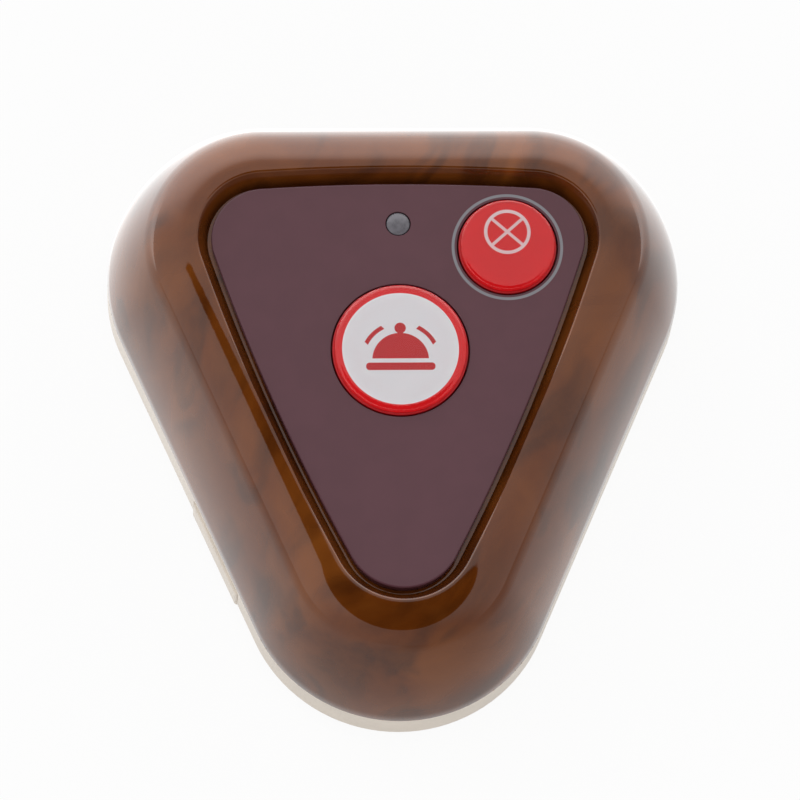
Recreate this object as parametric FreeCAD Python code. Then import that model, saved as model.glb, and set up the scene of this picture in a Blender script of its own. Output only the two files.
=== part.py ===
import FreeCAD, Part
import math
import os
from FreeCAD import Rotation, Vector

# Wireless call button: a rounded triangular shell on a shallow tray, with a
# faceplate sunk into its top, two press buttons, a lamp and a battery drawer.
# Millimetres.  +Z is up, +Y is the flat rear side, the nose points to -Y, and
# the origin is under the middle of the case on the surface it stands on.

# ---- plan ------------------------------------------------------------------
CORE_WIDTH = 34.1          # between the centres of the two rear corners
CORE_DEPTH = 39.0          # from those centres to the centre of the nose
CASE_RADIUS = 19.95        # radius of all three corners at the seam

# ---- heights ---------------------------------------------------------------
FOOT_STAND = 0.8           # feet stuck on the underside
BASE_HEIGHT = 6.0          # visible wall of the tray, up to the seam
SHELL_HEIGHT = 19.1        # from the seam to the crest of the shell
CREST_ABOVE_PLATE = 1.3

# ---- shell -----------------------------------------------------------------
SHELL_WALL = 2.0
DECK_THICKNESS = 1.6
WALL_RADIUS = 55.0         # the outer wall is slightly bowed, seen in section
WALL_LEAN = 25.0           # degrees that it leans inwards at its top
CREST_RADIUS = 6.3         # rounding between that wall and the crest, seen in section
WELL_EDGE_BEVEL = 0.2
WELL_WALL = 1.5            # wall between the well and the hollow of the crest ring

# ---- faceplate -------------------------------------------------------------
PLATE_REAR_INSET = 13.15   # its corners inside those of the case, at the rear
PLATE_NOSE_INSET = 12.55   # and at the nose
PLATE_SIDE_RADIUS = 270.0  # its sides are slightly crowned
PLATE_THICKNESS = 1.5
PLATE_EDGE = 0.2           # chamfer round the top
PLATE_GAP = 0.45           # groove between plate and well, on the deck
WELL_RUN = 1.35            # sideways run of the sloping well wall

# ---- buttons and lamp ------------------------------------------------------
CALL_FORWARD = 15.0        # forward of the line between the rear corner centres
CALL_DIAMETER = 17.3
CANCEL_FORWARD = 1.25
CANCEL_INWARD = 3.15       # nearer the middle than the rear right corner's centre
CANCEL_DIAMETER = 12.5
CAP_WALL = 1.1
CAP_TOP = 1.2              # thickness of the cap's top
CAP_PROUD = 0.15           # cap above the faceplate
CAP_CLEARANCE = 0.2        # cap to the hole it runs in, on the radius
CAP_FLANGE = 1.3           # flange beyond the cap
FLANGE_THICKNESS = 0.9
FLANGE_GAP = 0.2           # flange to the underside of the deck at rest
STEM_DIAMETER = 3.4
STEM_GAP = 0.05            # stem to the switch plunger
KEY_WIDTH = 2.0            # tab that keeps a cap from turning
KEY_LENGTH = 1.4
KEY_CLEARANCE = 0.25
GUIDE_RIB = 0.8            # thickness of the two ribs beside the tab
LABEL_INSET = 0.25         # label inside the cap's edge
LABEL_THICKNESS = 0.15
DOME_HEIGHT = 0.9
DOME_SLOPE = 1.1           # width of the dome's sloping edge
DOME_FALL = 0.55           # height of that slope
BUTTON_TRAVEL = 0.3
LED_REARWARD = 1.95        # behind the line between the rear corner centres
LED_DIAMETER = 3.0
LED_LENGTH = 5.3
LED_FLANGE = 3.8
LED_FLANGE_HEIGHT = 1.0
LED_PROUD = 0.25           # tip above the faceplate
LED_CLEARANCE = 0.1
LEAD_SIZE = 0.5
LEAD_SPACING = 2.54
LEAD_CLEARANCE = 0.2       # round a lead or wire in its hole

# ---- circuit board and its parts -------------------------------------------
BOARD_THICKNESS = 1.6
BOARD_INSET = 1.0          # inside the outline of the faceplate
BOARD_TOP = 17.2           # above the surface that the object stands on
SWITCH_SIZE = 6.0
SWITCH_HEIGHT = 3.5
SWITCH_EDGE = 0.4
PLUNGER_DIAMETER = 3.5
PLUNGER_TOP = 4.3          # above the board
PLUNGER_CLEARANCE = 0.05
PLUNGER_DEPTH = 1.6        # plunger's length inside the switch
TERMINAL_WIDTH = 0.7
TERMINAL_THICKNESS = 0.3
TERMINAL_REACH = 1.0
TERMINAL_PITCH = 4.5
CHIP_X = -9.5
CHIP_FORWARD = 7.0
CHIP_LENGTH = 8.6
CHIP_WIDTH = 3.9
CHIP_HEIGHT = 1.5
CHIP_PINS = 7
CHIP_PITCH = 1.27
CHIP_PIN_WIDTH = 0.42
CHIP_PIN_REACH = 1.05
CHIP_PIN_THICKNESS = 0.25
RESONATOR_FROM_NOSE = 7.7  # behind the centre of the nose
RESONATOR_DIAMETER = 7.2
RESONATOR_RIM = 8.0
RESONATOR_RIM_HEIGHT = 0.4
RESONATOR_HEIGHT = 3.0
SMD_LENGTH = 2.0
SMD_WIDTH = 1.25
SMD_HEIGHT = 0.6
ANTENNA_FORWARD = 10.5     # forward of the rear right corner's centre
ANTENNA_LENGTH = 14.0
ANTENNA_DROP = 4.5         # how far the loop hangs below the board
ANTENNA_WIRE = 1.0
ANTENNA_BEND = 1.6
WIRE_SIDES = 6             # flats round a bent wire

# ---- base ------------------------------------------------------------------
FLOOR_THICKNESS = 2.2
BASE_EDGE = 0.7            # chamfer round the underside
LIP_INSET = 1.3            # lip inside the outline
LIP_THICKNESS = 1.0
LIP_HEIGHT = 1.6
LIP_CLEARANCE = 0.1
FOOT_DIAMETER = 8.0

# ---- screws ----------------------------------------------------------------
CASE_SCREW_INSET = 9.45    # inside the outline at each corner
CASE_SCREW_THREAD = 2.6
CASE_SCREW_LENGTH = 12.0
CASE_SCREW_HEAD = 4.8
CASE_SCREW_HEAD_HEIGHT = 1.7
SCREW_CLEARANCE = 0.25     # through a clearance hole, on the radius
THREAD_FIT = 0.03          # thread in its boss, on the radius
SHELL_BOSS = 6.0
BASE_TUBE = 7.6
SCREW_SEAT = 3.6           # seat of the head above the standing surface
TUBE_ABOVE_SEAM = 1.9
BOARD_SCREW_OUT = 2.85     # beyond the rear corner centres, sideways
BOARD_SCREW_REARWARD = 1.5  # behind the three corner centres
BOARD_SCREW_THREAD = 2.0
BOARD_SCREW_LENGTH = 5.0
BOARD_SCREW_HEAD = 3.6
BOARD_SCREW_HEAD_HEIGHT = 1.3
BOARD_POST = 5.0
RECESS_DEPTH = 0.55        # cross recess: depth as a share of the head's height
RECESS_ARM = 0.3           # half its length and half its width, as shares of the head
RECESS_WIDTH = 0.09

# ---- battery, its bay and its drawer ---------------------------------------
BATTERY_DIAMETER = 10.3
BATTERY_LENGTH = 28.5
BATTERY_NUB = 5.5
BATTERY_NUB_HEIGHT = 1.0
BATTERY_LIFT = 0.4         # battery above the drawer
BAY_ALONG = 30.0           # bay's centre line along the left side, from the rear corner
BAY_CLEARANCE = 0.3
BAY_WALL = 1.2
BAY_ROOF = 1.0
BAY_TO_SHELL = 0.5         # between the bay's end and the sloping wall of the shell
SPRING_SPACE = 3.2         # between the battery and the bay's outer end
CONTACT_THICKNESS = 0.4
CONTACT_WIDTH = 8.0
CONTACT_TAIL = 2.0
CONTACT_FIT = 0.1
LEAF_WIDTH = 4.0
LEAF_THICKNESS = 0.3
LEAF_HEIGHT = 7.0
LEAF_LANDS = (0.16, 0.62)  # where the leaf leaves the contact, and where it has reached the battery
DOOR_CLEARANCE = 0.15
DOOR_END_WIDTH = 13.5
DOOR_END_HEIGHT = 4.8
DOOR_END_THICKNESS = 1.6
DOOR_PROUD = 0.25
DOOR_TONGUE = 0.6          # tongue beyond each side of the drawer
DOOR_LEDGE = 0.6           # floor left under the tongue
DOOR_THICKNESS = 1.5
DOOR_END_ROUND = 0.4
GRIP_WIDTH = 0.8
GRIP_DEPTH = 0.4
GRIP_PITCH = 1.8
GRIP_COUNT = 4

# ---- what follows from them ------------------------------------------------
SEAM_Z = FOOT_STAND + BASE_HEIGHT
CREST_Z = SEAM_Z + SHELL_HEIGHT
PLATE_TOP = CREST_Z - CREST_ABOVE_PLATE
PLATE_BOTTOM = PLATE_TOP - PLATE_THICKNESS
DECK_TOP = PLATE_BOTTOM
DECK_BOTTOM = DECK_TOP - DECK_THICKNESS
BOARD_BOTTOM = BOARD_TOP - BOARD_THICKNESS
FLOOR_TOP = FOOT_STAND + FLOOR_THICKNESS
REAR_Y = CORE_DEPTH / 2
NOSE_Y = REAR_Y - CORE_DEPTH
CALL = (0.0, REAR_Y - CALL_FORWARD, CALL_DIAMETER)
CANCEL = (CORE_WIDTH / 2 - CANCEL_INWARD, REAR_Y - CANCEL_FORWARD, CANCEL_DIAMETER)
LED_Y = REAR_Y + LED_REARWARD
CHIP_Y = REAR_Y - CHIP_FORWARD
RESONATOR_Y = NOSE_Y + RESONATOR_FROM_NOSE
CAP_Z = PLATE_TOP + CAP_PROUD
FLANGE_TOP = DECK_BOTTOM - FLANGE_GAP
DOOR_TOP = FOOT_STAND + DOOR_THICKNESS
BATTERY_Z = DOOR_TOP + BATTERY_LIFT + BATTERY_DIAMETER / 2
BAY_HALF = BATTERY_DIAMETER / 2 + BAY_CLEARANCE
BAY_TOP = BATTERY_Z + BATTERY_DIAMETER / 2 + BAY_CLEARANCE
PAST = 1.0                 # how far a cutting tool runs past a face


class Outline:
    """Rounded triangle, flat side to the rear.  bend is the curvature of its sides."""

    def __init__(self, width, depth, rear_y, rear_radius, nose_radius, bend=0.0):
        self.values = (width, depth, rear_y, rear_radius, nose_radius, bend)

    def grown(self, distance):
        """The parallel outline, distance further out."""
        width, depth, rear_y, rear, nose, bend = self.values
        return Outline(width, depth, rear_y, rear + distance, nose + distance,
                       bend / (1 + bend * distance))

    def corners(self):
        """Centre and radius of each corner, clockwise from the rear left."""
        width, depth, rear_y, rear, nose, _ = self.values
        return [(Vector(-width / 2, rear_y, 0), rear),
                (Vector(width / 2, rear_y, 0), rear),
                (Vector(0, rear_y - depth, 0), nose)]

    def side(self, index):
        """Start, middle and end of the side that follows a corner."""
        corners = self.corners()
        (start, r_start), (end, r_end) = corners[index], corners[(index + 1) % 3]
        length = start.distanceToPoint(end)
        along = (end - start) / length
        out = Vector(-along.y, along.x, 0)
        bend = self.values[5]
        if bend < 1e-7:
            lean = (r_start - r_end) / length
            normal = along * lean + out * math.sqrt(1 - lean * lean)
            ends = (start + normal * r_start, end + normal * r_end)
            return ends[0], (ends[0] + ends[1]) / 2, ends[1]
        radius = 1 / bend
        to_start, to_end = radius - r_start, radius - r_end
        shift = (to_start ** 2 - to_end ** 2 + length ** 2) / (2 * length)
        centre = start + along * shift - out * math.sqrt(to_start ** 2 - shift ** 2)
        first = (start - centre).normalize()
        last = (end - centre).normalize()
        middle = (first + last).normalize()
        return centre + first * radius, centre + middle * radius, centre + last * radius

    def wire(self, z):
        """The outline as a closed wire of three sides and three corner arcs."""
        lift = Vector(0, 0, z)
        straight = self.values[5] < 1e-7
        edges = []
        for index in range(3):
            a, middle, b = (point + lift for point in self.side(index))
            if straight:
                edges.append(Part.LineSegment(a, b).toShape())
            else:
                edges.append(Part.Arc(a, middle, b).toShape())
            centre, radius = self.corners()[(index + 1) % 3]
            centre = centre + lift
            after = self.side((index + 1) % 3)[0] + lift
            way = ((b - centre).normalize() + (after - centre).normalize()).normalize()
            edges.append(Part.Arc(b, centre + way * radius, after).toShape())
        return Part.Wire(edges)

    def slab(self, bottom, top):
        """The outline as an upright solid between two heights."""
        return Part.Face(self.wire(bottom)).extrude(Vector(0, 0, top - bottom))


CASE = Outline(CORE_WIDTH, CORE_DEPTH, REAR_Y, CASE_RADIUS, CASE_RADIUS)
PLATE = Outline(CORE_WIDTH, CORE_DEPTH, REAR_Y, CASE_RADIUS - PLATE_REAR_INSET,
                CASE_RADIUS - PLATE_NOSE_INSET, 1 / PLATE_SIDE_RADIUS)
WELL_FLOOR = PLATE.grown(PLATE_GAP)
WELL_EDGE = WELL_FLOOR.grown(WELL_RUN)

# Centres of the two arcs of the shell's section, which run into each other without a
# kink: the bowed wall, from the seam up, and the rounding of the crest.
LEAN = math.radians(WALL_LEAN)
CREST_CENTRE_Z = CREST_Z - CREST_RADIUS
WALL_CENTRE_Z = CREST_CENTRE_Z - (WALL_RADIUS - CREST_RADIUS) * math.sin(LEAN)
WALL_CENTRE = CASE_RADIUS - math.sqrt(WALL_RADIUS ** 2 - (SEAM_Z - WALL_CENTRE_Z) ** 2)
CREST_CENTRE = WALL_CENTRE + (WALL_RADIUS - CREST_RADIUS) * math.cos(LEAN)


def on_crest(inset, angle):
    """Point of the crest's rounding, inset from its outside, at an angle from level."""
    radius = CREST_RADIUS - inset
    return Vector(CREST_CENTRE + radius * math.cos(angle), 0, CREST_CENTRE_Z + radius * math.sin(angle))


# The hollow's wall is straight, from the seam to where the crest's rounding begins.
HOLLOW_FOOT = Vector(CASE_RADIUS - SHELL_WALL, 0, SEAM_Z)
HOLLOW_TOP = on_crest(SHELL_WALL, LEAN)
HOLLOW_SLOPE = (HOLLOW_FOOT.x - HOLLOW_TOP.x) / (HOLLOW_TOP.z - HOLLOW_FOOT.z)


# ---- small helpers ---------------------------------------------------------
def cylinder(x, y, bottom, top, diameter):
    return Part.makeCylinder(diameter / 2, top - bottom, Vector(x, y, bottom))


def block(x_low, x_high, y_low, y_high, z_low, z_high):
    corner = Vector(x_low, y_low, z_low)
    return Part.makeBox(x_high - x_low, y_high - y_low, z_high - z_low, corner)


def turned(points):
    """Solid of revolution about Z from the corners of its half section."""
    outline = Part.makePolygon([Vector(r, 0, z) for r, z in points + points[:1]])
    return Part.Face(outline).revolve(Vector(), Vector(0, 0, 1), 360)


def moved(shape, x, y, z=0.0):
    shape = shape.copy()
    shape.translate(Vector(x, y, z))
    return shape


def fused(shapes):
    result = shapes[0].multiFuse(shapes[1:]) if len(shapes) > 1 else shapes[0]
    return result.removeSplitter()


def loft(outlines):
    """Solid with straight walls between outlines given as (outline, height) pairs."""
    return Part.makeLoft([outline.wire(z) for outline, z in outlines], True, True)


def edges_at(shape, z):
    """Edges of a shape that lie level at one height."""
    return [edge for edge in shape.Edges
            if abs(edge.BoundBox.ZMin - z) < 1e-4 and abs(edge.BoundBox.ZMax - z) < 1e-4]


# ---- frame of the battery bay ----------------------------------------------
# Its X points out through the left side of the case, square to it, from the
# line that joins the corner centres; its Y runs along that side.
NOSE, REAR_LEFT = CASE.corners()[2][0], CASE.corners()[0][0]
SIDE_WAY = (NOSE - REAR_LEFT).normalize()
BAY_WAY = Vector(SIDE_WAY.y, -SIDE_WAY.x, 0)
BAY_POINT = REAR_LEFT + SIDE_WAY * BAY_ALONG
BAY_TURN = math.degrees(math.atan2(BAY_WAY.y, BAY_WAY.x))


def in_bay(shape):
    """A shape modelled in the bay's frame, put in its place in the case."""
    shape = shape.copy()
    shape.Placement = FreeCAD.Placement(BAY_POINT, Rotation(Vector(0, 0, 1), BAY_TURN)) * shape.Placement
    return shape


# Stations along the bay's X, from the side wall inwards.
DOOR_FACE = CASE_RADIUS + DOOR_PROUD
BASE_WALL = LIP_INSET + LIP_THICKNESS
SHELL_INSIDE = SHELL_WALL + (BAY_TOP + BAY_ROOF - SEAM_Z) * HOLLOW_SLOPE
BAY_OUTER = CASE_RADIUS - SHELL_INSIDE - BAY_TO_SHELL - BAY_WALL
BATTERY_OUTER = BAY_OUTER - SPRING_SPACE
BATTERY_INNER = BATTERY_OUTER - BATTERY_LENGTH
BAY_INNER = BATTERY_INNER - CONTACT_THICKNESS - CONTACT_FIT


# ---- shell -----------------------------------------------------------------
def outer_section():
    """Half section of the shell's outside, X outwards from the line between the corner
    centres: bowed wall, rounded crest and level land."""
    start, middle, top = (on_crest(0, angle) for angle in (LEAN, (LEAN + math.pi / 2) / 2, math.pi / 2))
    foot = Vector(CASE_RADIUS, 0, SEAM_Z)
    halfway = (LEAN + math.asin((SEAM_Z - WALL_CENTRE_Z) / WALL_RADIUS)) / 2
    bow = Vector(WALL_CENTRE + WALL_RADIUS * math.cos(halfway), 0,
                 WALL_CENTRE_Z + WALL_RADIUS * math.sin(halfway))
    arcs = [Part.Arc(foot, bow, start).toShape(), Part.Arc(start, middle, top).toShape()]
    inside = [top, Vector(0, 0, CREST_Z), Vector(0, 0, SEAM_Z), foot]
    return Part.Face(Part.Wire(arcs + Part.makePolygon(inside).Edges))


def hollow_section():
    """Half section of the hollow in it, with flats in place of the arcs."""
    top = on_crest(SHELL_WALL, math.pi / 2)
    corners = [Vector(0, 0, SEAM_Z), HOLLOW_FOOT, HOLLOW_TOP, top, Vector(0, 0, top.z)]
    return Part.Face(Part.makePolygon(corners + corners[:1]))


def carried_round(section):
    """Solid with this half section all round the case: turned about each corner's centre,
    straight along each side, and filled between."""
    box = section.BoundBox
    centres = [centre for centre, _ in CASE.corners()]
    core = Part.Face(Part.makePolygon(centres + centres[:1]))
    core.translate(Vector(0, 0, box.ZMin))
    pieces = [core.extrude(Vector(0, 0, box.ZLength))]
    for index in range(3):
        start, end = centres[index], centres[(index + 1) % 3]
        after = centres[(index + 2) % 3]
        along, onward = end - start, after - end
        facing = math.degrees(math.atan2(along.x, -along.y))
        turn = math.degrees(along.getAngle(onward))
        placed = section.copy()
        placed.rotate(Vector(), Vector(0, 0, 1), facing)
        pieces.append(moved(placed, start.x, start.y).extrude(along))
        pieces.append(moved(placed, end.x, end.y).revolve(end, Vector(0, 0, 1), -turn))
    return fused(pieces)


def screw_places():
    """Case screws: outwards from each corner centre, away from the middle."""
    corners = [centre for centre, _ in CASE.corners()]
    sides = [corners[i - 1].distanceToPoint(corners[i - 2]) for i in range(3)]
    middle = sum((c * s for c, s in zip(corners, sides)), Vector()) / sum(sides)
    return [c + (c - middle).normalize() * (CASE_RADIUS - CASE_SCREW_INSET) for c in corners]


def top_shell():
    """Shell with a crest ring round the sunk well, hollow, on three screw bosses."""
    outside = carried_round(outer_section())
    well_walls = loft([(WELL_FLOOR.grown(WELL_WALL), DECK_BOTTOM),
                       (WELL_EDGE.grown(WELL_WALL), CREST_Z)])
    shell = outside.cut(carried_round(hollow_section()).cut(well_walls))
    bosses = []
    boss_foot = SEAM_Z + TUBE_ABOVE_SEAM
    for place in screw_places():
        boss = cylinder(place.x, place.y, boss_foot, CREST_Z - SHELL_WALL, SHELL_BOSS)
        bosses.append(boss.common(outside))
    ribs = [rib for x, y, size in (CALL, CANCEL) for rib in key_ribs(x, y, size)]
    shell = shell.multiFuse(bosses + ribs)
    bevel = WELL_EDGE_BEVEL
    cuts = [loft([(WELL_FLOOR, DECK_TOP), (WELL_EDGE, CREST_Z)]),
            loft([(WELL_EDGE.grown(-3 * bevel), CREST_Z - 4 * bevel), (WELL_EDGE.grown(bevel), CREST_Z)])]
    for place in screw_places():
        depth = SCREW_SEAT + CASE_SCREW_LENGTH + PAST
        thread = CASE_SCREW_THREAD + 2 * THREAD_FIT
        cuts.append(cylinder(place.x, place.y, boss_foot - PAST, depth, thread))
    cuts.append(window_cuts(DECK_BOTTOM, DECK_TOP))
    rebate = CASE.grown(LIP_CLEARANCE - LIP_INSET)
    cuts.append(rebate.slab(SEAM_Z - PAST, SEAM_Z + LIP_HEIGHT + LIP_CLEARANCE))
    return shell.cut(fused_tools(cuts))


def fused_tools(shapes):
    return shapes[0].multiFuse(shapes[1:])


# ---- faceplate -------------------------------------------------------------
def window_cuts(bottom, top):
    """The openings for the caps and the lamp through a layer of the top."""
    cuts = [cylinder(x, y, bottom - PAST, top + PAST, size + 2 * CAP_CLEARANCE)
            for x, y, size in (CALL, CANCEL)]
    cuts.append(cylinder(0, LED_Y, bottom - PAST, top + PAST, LED_DIAMETER + 2 * LED_CLEARANCE))
    return fused_tools(cuts)


def faceplate():
    plate = PLATE.slab(PLATE_BOTTOM, PLATE_TOP)
    plate = plate.makeChamfer(PLATE_EDGE, edges_at(plate, PLATE_TOP))
    return plate.cut(window_cuts(PLATE_BOTTOM, PLATE_TOP))


# ---- buttons ---------------------------------------------------------------
def key_ribs(x, y, size):
    """The two ribs under the deck that a cap's tab runs between."""
    start = size / 2 + CAP_FLANGE + KEY_CLEARANCE
    end = size / 2 + CAP_FLANGE + KEY_LENGTH
    bottom = FLANGE_TOP - FLANGE_THICKNESS
    ribs = []
    for way in (-1, 1):
        near = KEY_WIDTH / 2 + KEY_CLEARANCE
        low, high = sorted((way * near, way * (near + GUIDE_RIB)))
        ribs.append(moved(block(low, high, -end, -start, bottom, DECK_BOTTOM + DECK_THICKNESS / 2), x, y))
    return ribs


def button_cap(x, y, size):
    """Cup with a flange below the deck, a stem onto the switch and a key tab."""
    radius = size / 2
    flange_bottom = FLANGE_TOP - FLANGE_THICKNESS
    rim = radius + CAP_FLANGE
    cap = turned([(0, CAP_Z), (radius, CAP_Z), (radius, FLANGE_TOP), (rim, FLANGE_TOP),
                  (rim, flange_bottom),
                  (radius - CAP_WALL, flange_bottom), (radius - CAP_WALL, CAP_Z - CAP_TOP),
                  (STEM_DIAMETER / 2, CAP_Z - CAP_TOP),
                  (STEM_DIAMETER / 2, BOARD_TOP + PLUNGER_TOP + STEM_GAP),
                  (0, BOARD_TOP + PLUNGER_TOP + STEM_GAP)])
    tab = block(-KEY_WIDTH / 2, KEY_WIDTH / 2, -rim - KEY_LENGTH, -radius,
                flange_bottom, FLANGE_TOP)
    return moved(fused([cap, tab]), x, y)


def button_label(x, y, size):
    return cylinder(x, y, CAP_Z, CAP_Z + LABEL_THICKNESS, size - 2 * LABEL_INSET)


def button_dome(x, y, size):
    """Clear resin lens: level on top with a sloping edge."""
    radius = size / 2 - LABEL_INSET
    bottom = CAP_Z + LABEL_THICKNESS
    top = bottom + DOME_HEIGHT
    lens = turned([(0, bottom), (radius, bottom), (radius, top - DOME_FALL),
                   (radius - DOME_SLOPE, top), (0, top)])
    return moved(lens, x, y)


# ---- lamp ------------------------------------------------------------------
LED_TIP = PLATE_TOP + LED_PROUD
LED_SEAT = LED_TIP - LED_LENGTH


def led():
    radius = LED_DIAMETER / 2
    body = cylinder(0, LED_Y, LED_SEAT, LED_TIP - radius, LED_DIAMETER)
    dome = Part.makeSphere(radius, Vector(0, LED_Y, LED_TIP - radius))
    flange = cylinder(0, LED_Y, LED_SEAT, LED_SEAT + LED_FLANGE_HEIGHT, LED_FLANGE)
    return fused([body, dome, flange])


def led_leads():
    half = LEAD_SIZE / 2
    leads = []
    for way in (-1, 1):
        x = way * LEAD_SPACING / 2
        leads.append(block(x - half, x + half, LED_Y - half, LED_Y + half,
                           BOARD_BOTTOM - PAST, LED_SEAT))
    return Part.makeCompound(leads)


# ---- circuit board ---------------------------------------------------------
def board_screw_places():
    x, back = CORE_WIDTH / 2 + BOARD_SCREW_OUT, BOARD_SCREW_REARWARD
    return [(-x, REAR_Y + back), (x, REAR_Y + back), (0.0, NOSE_Y + back)]


def tail(x, half_width, bottom, top, grow=0.0):
    """Upright tail of a battery contact in the bay's frame, or its slot."""
    return block(x - grow, x + CONTACT_THICKNESS + grow, -half_width - grow, half_width + grow,
                 bottom, top)


def circuit_board():
    board = PLATE.grown(-BOARD_INSET).slab(BOARD_BOTTOM, BOARD_TOP)
    cuts = [cylinder(x, y, BOARD_BOTTOM - PAST, BOARD_TOP + PAST,
                     BOARD_SCREW_THREAD + 2 * SCREW_CLEARANCE)
            for x, y in board_screw_places()]
    half = LEAD_SIZE / 2 + LEAD_CLEARANCE
    through = Vector(0, 0, BOARD_THICKNESS + 2 * PAST)
    wire_hole = Part.Face(wire_section(ANTENNA_WIRE + 2 * LEAD_CLEARANCE)).extrude(through)
    for way in (-1, 1):
        x = way * LEAD_SPACING / 2
        cuts.append(block(x - half, x + half, LED_Y - half, LED_Y + half,
                          BOARD_BOTTOM - PAST, BOARD_TOP + PAST))
        cuts.append(at_antenna(moved(wire_hole, way * ANTENNA_LENGTH / 2, 0, -PAST)))
    for x in contact_stations():
        cuts.append(in_bay(tail(x, CONTACT_TAIL / 2, BOARD_BOTTOM - PAST, BOARD_TOP + PAST, CONTACT_FIT)))
    return board.cut(fused_tools(cuts))


def switch_body(x, y):
    half = SWITCH_SIZE / 2
    body = block(-half, half, -half, half, BOARD_TOP, BOARD_TOP + SWITCH_HEIGHT)
    upright = [edge for edge in body.Edges if edge.BoundBox.ZLength > SWITCH_HEIGHT / 2]
    body = body.makeChamfer(SWITCH_EDGE, upright)
    top = BOARD_TOP + SWITCH_HEIGHT
    bore = cylinder(0, 0, top - PLUNGER_DEPTH - BUTTON_TRAVEL - PLUNGER_CLEARANCE, top + PAST,
                    PLUNGER_DIAMETER + 2 * PLUNGER_CLEARANCE)
    return moved(body.cut(bore), x, y)


def switch_plunger(x, y):
    top = BOARD_TOP + SWITCH_HEIGHT
    return cylinder(x, y, top - PLUNGER_DEPTH, BOARD_TOP + PLUNGER_TOP, PLUNGER_DIAMETER)


def switch_terminals():
    """Four flat legs beside each switch, on the board."""
    legs = []
    half = SWITCH_SIZE / 2
    for x, y, _ in (CALL, CANCEL):
        for way in (-1, 1):
            low, high = sorted((way * half, way * (half + TERMINAL_REACH)))
            for row in (-1, 1):
                middle = row * TERMINAL_PITCH / 2
                leg = block(low, high, middle - TERMINAL_WIDTH / 2, middle + TERMINAL_WIDTH / 2,
                            BOARD_TOP, BOARD_TOP + TERMINAL_THICKNESS)
                legs.append(moved(leg, x, y))
    return Part.makeCompound(legs)


def encoder_chip():
    half = CHIP_LENGTH / 2
    body = block(-half, half, -CHIP_WIDTH / 2, CHIP_WIDTH / 2,
                 BOARD_TOP + CHIP_PIN_THICKNESS / 2, BOARD_TOP + CHIP_HEIGHT)
    return moved(body, CHIP_X, CHIP_Y)


def chip_pins():
    pins = []
    first = -(CHIP_PINS - 1) * CHIP_PITCH / 2
    for index in range(CHIP_PINS):
        middle = first + index * CHIP_PITCH
        for way in (-1, 1):
            near = way * CHIP_WIDTH / 2
            low, high = sorted((near, near + way * CHIP_PIN_REACH))
            pin = block(middle - CHIP_PIN_WIDTH / 2, middle + CHIP_PIN_WIDTH / 2, low, high,
                        BOARD_TOP, BOARD_TOP + CHIP_PIN_THICKNESS)
            pins.append(moved(pin, CHIP_X, CHIP_Y))
    return Part.makeCompound(pins)


def rf_resonator():
    """Round metal can with a narrow welding rim at its foot."""
    rim, radius = RESONATOR_RIM / 2, RESONATOR_DIAMETER / 2
    can = turned([(0, 0), (rim, 0), (rim, RESONATOR_RIM_HEIGHT), (radius, RESONATOR_RIM_HEIGHT),
                  (radius, RESONATOR_HEIGHT), (0, RESONATOR_HEIGHT)])
    return moved(can, 0, RESONATOR_Y, BOARD_TOP)


def smd_parts():
    """Resistors and capacitors in two short rows."""
    parts = []
    for row, count in ((0, 4), (1, 3)):
        for index in range(count):
            x = CHIP_X + (index - (count - 1) / 2) * SMD_WIDTH * 2
            y = CHIP_Y - CHIP_WIDTH / 2 - CHIP_PIN_REACH - (row + 0.5) * SMD_LENGTH * 1.5
            part = block(-SMD_WIDTH / 2, SMD_WIDTH / 2, -SMD_LENGTH / 2, SMD_LENGTH / 2,
                         BOARD_TOP, BOARD_TOP + SMD_HEIGHT)
            parts.append(moved(part, x, y))
    return Part.makeCompound(parts)


def antenna_loop():
    """Stiff wire bent into a flat loop, its two legs soldered into the board."""
    half, drop, bend = ANTENNA_LENGTH / 2, ANTENNA_DROP, ANTENNA_BEND
    top = BOARD_TOP - BOARD_BOTTOM
    diagonal = bend * (1 - math.sqrt(0.5))
    legs = [Part.LineSegment(Vector(-half, 0, top), Vector(-half, 0, bend - drop)).toShape(),
            Part.Arc(Vector(-half, 0, bend - drop), Vector(diagonal - half, 0, diagonal - drop),
                     Vector(bend - half, 0, -drop)).toShape(),
            Part.LineSegment(Vector(bend - half, 0, -drop), Vector(half - bend, 0, -drop)).toShape(),
            Part.Arc(Vector(half - bend, 0, -drop), Vector(half - diagonal, 0, diagonal - drop),
                     Vector(half, 0, bend - drop)).toShape(),
            Part.LineSegment(Vector(half, 0, bend - drop), Vector(half, 0, top)).toShape()]
    section = wire_section(ANTENNA_WIRE)
    section.translate(Vector(-half, 0, top))
    return at_antenna(Part.Wire(legs).makePipeShell([section], True, True))


def wire_section(diameter):
    """Section of a bent wire, level and round the origin."""
    turns = [2 * math.pi * side / WIRE_SIDES for side in range(WIRE_SIDES + 1)]
    return Part.makePolygon([Vector(math.cos(t), math.sin(t), 0) * (diameter / 2) for t in turns])


def at_antenna(shape):
    """A shape modelled about the antenna's middle, along X, put under the board beside
    the right side of the case."""
    shape = shape.copy()
    shape.rotate(Vector(), Vector(0, 0, 1), math.degrees(math.atan2(-SIDE_WAY.y, SIDE_WAY.x)))
    return moved(shape, CORE_WIDTH / 2, REAR_Y - ANTENNA_FORWARD, BOARD_BOTTOM)


# ---- battery and contacts --------------------------------------------------
def contact_stations():
    """Inner face of each contact's plate along the bay's X."""
    return (BAY_INNER + CONTACT_FIT / 2, BAY_OUTER - CONTACT_THICKNESS - CONTACT_FIT / 2)


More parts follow.
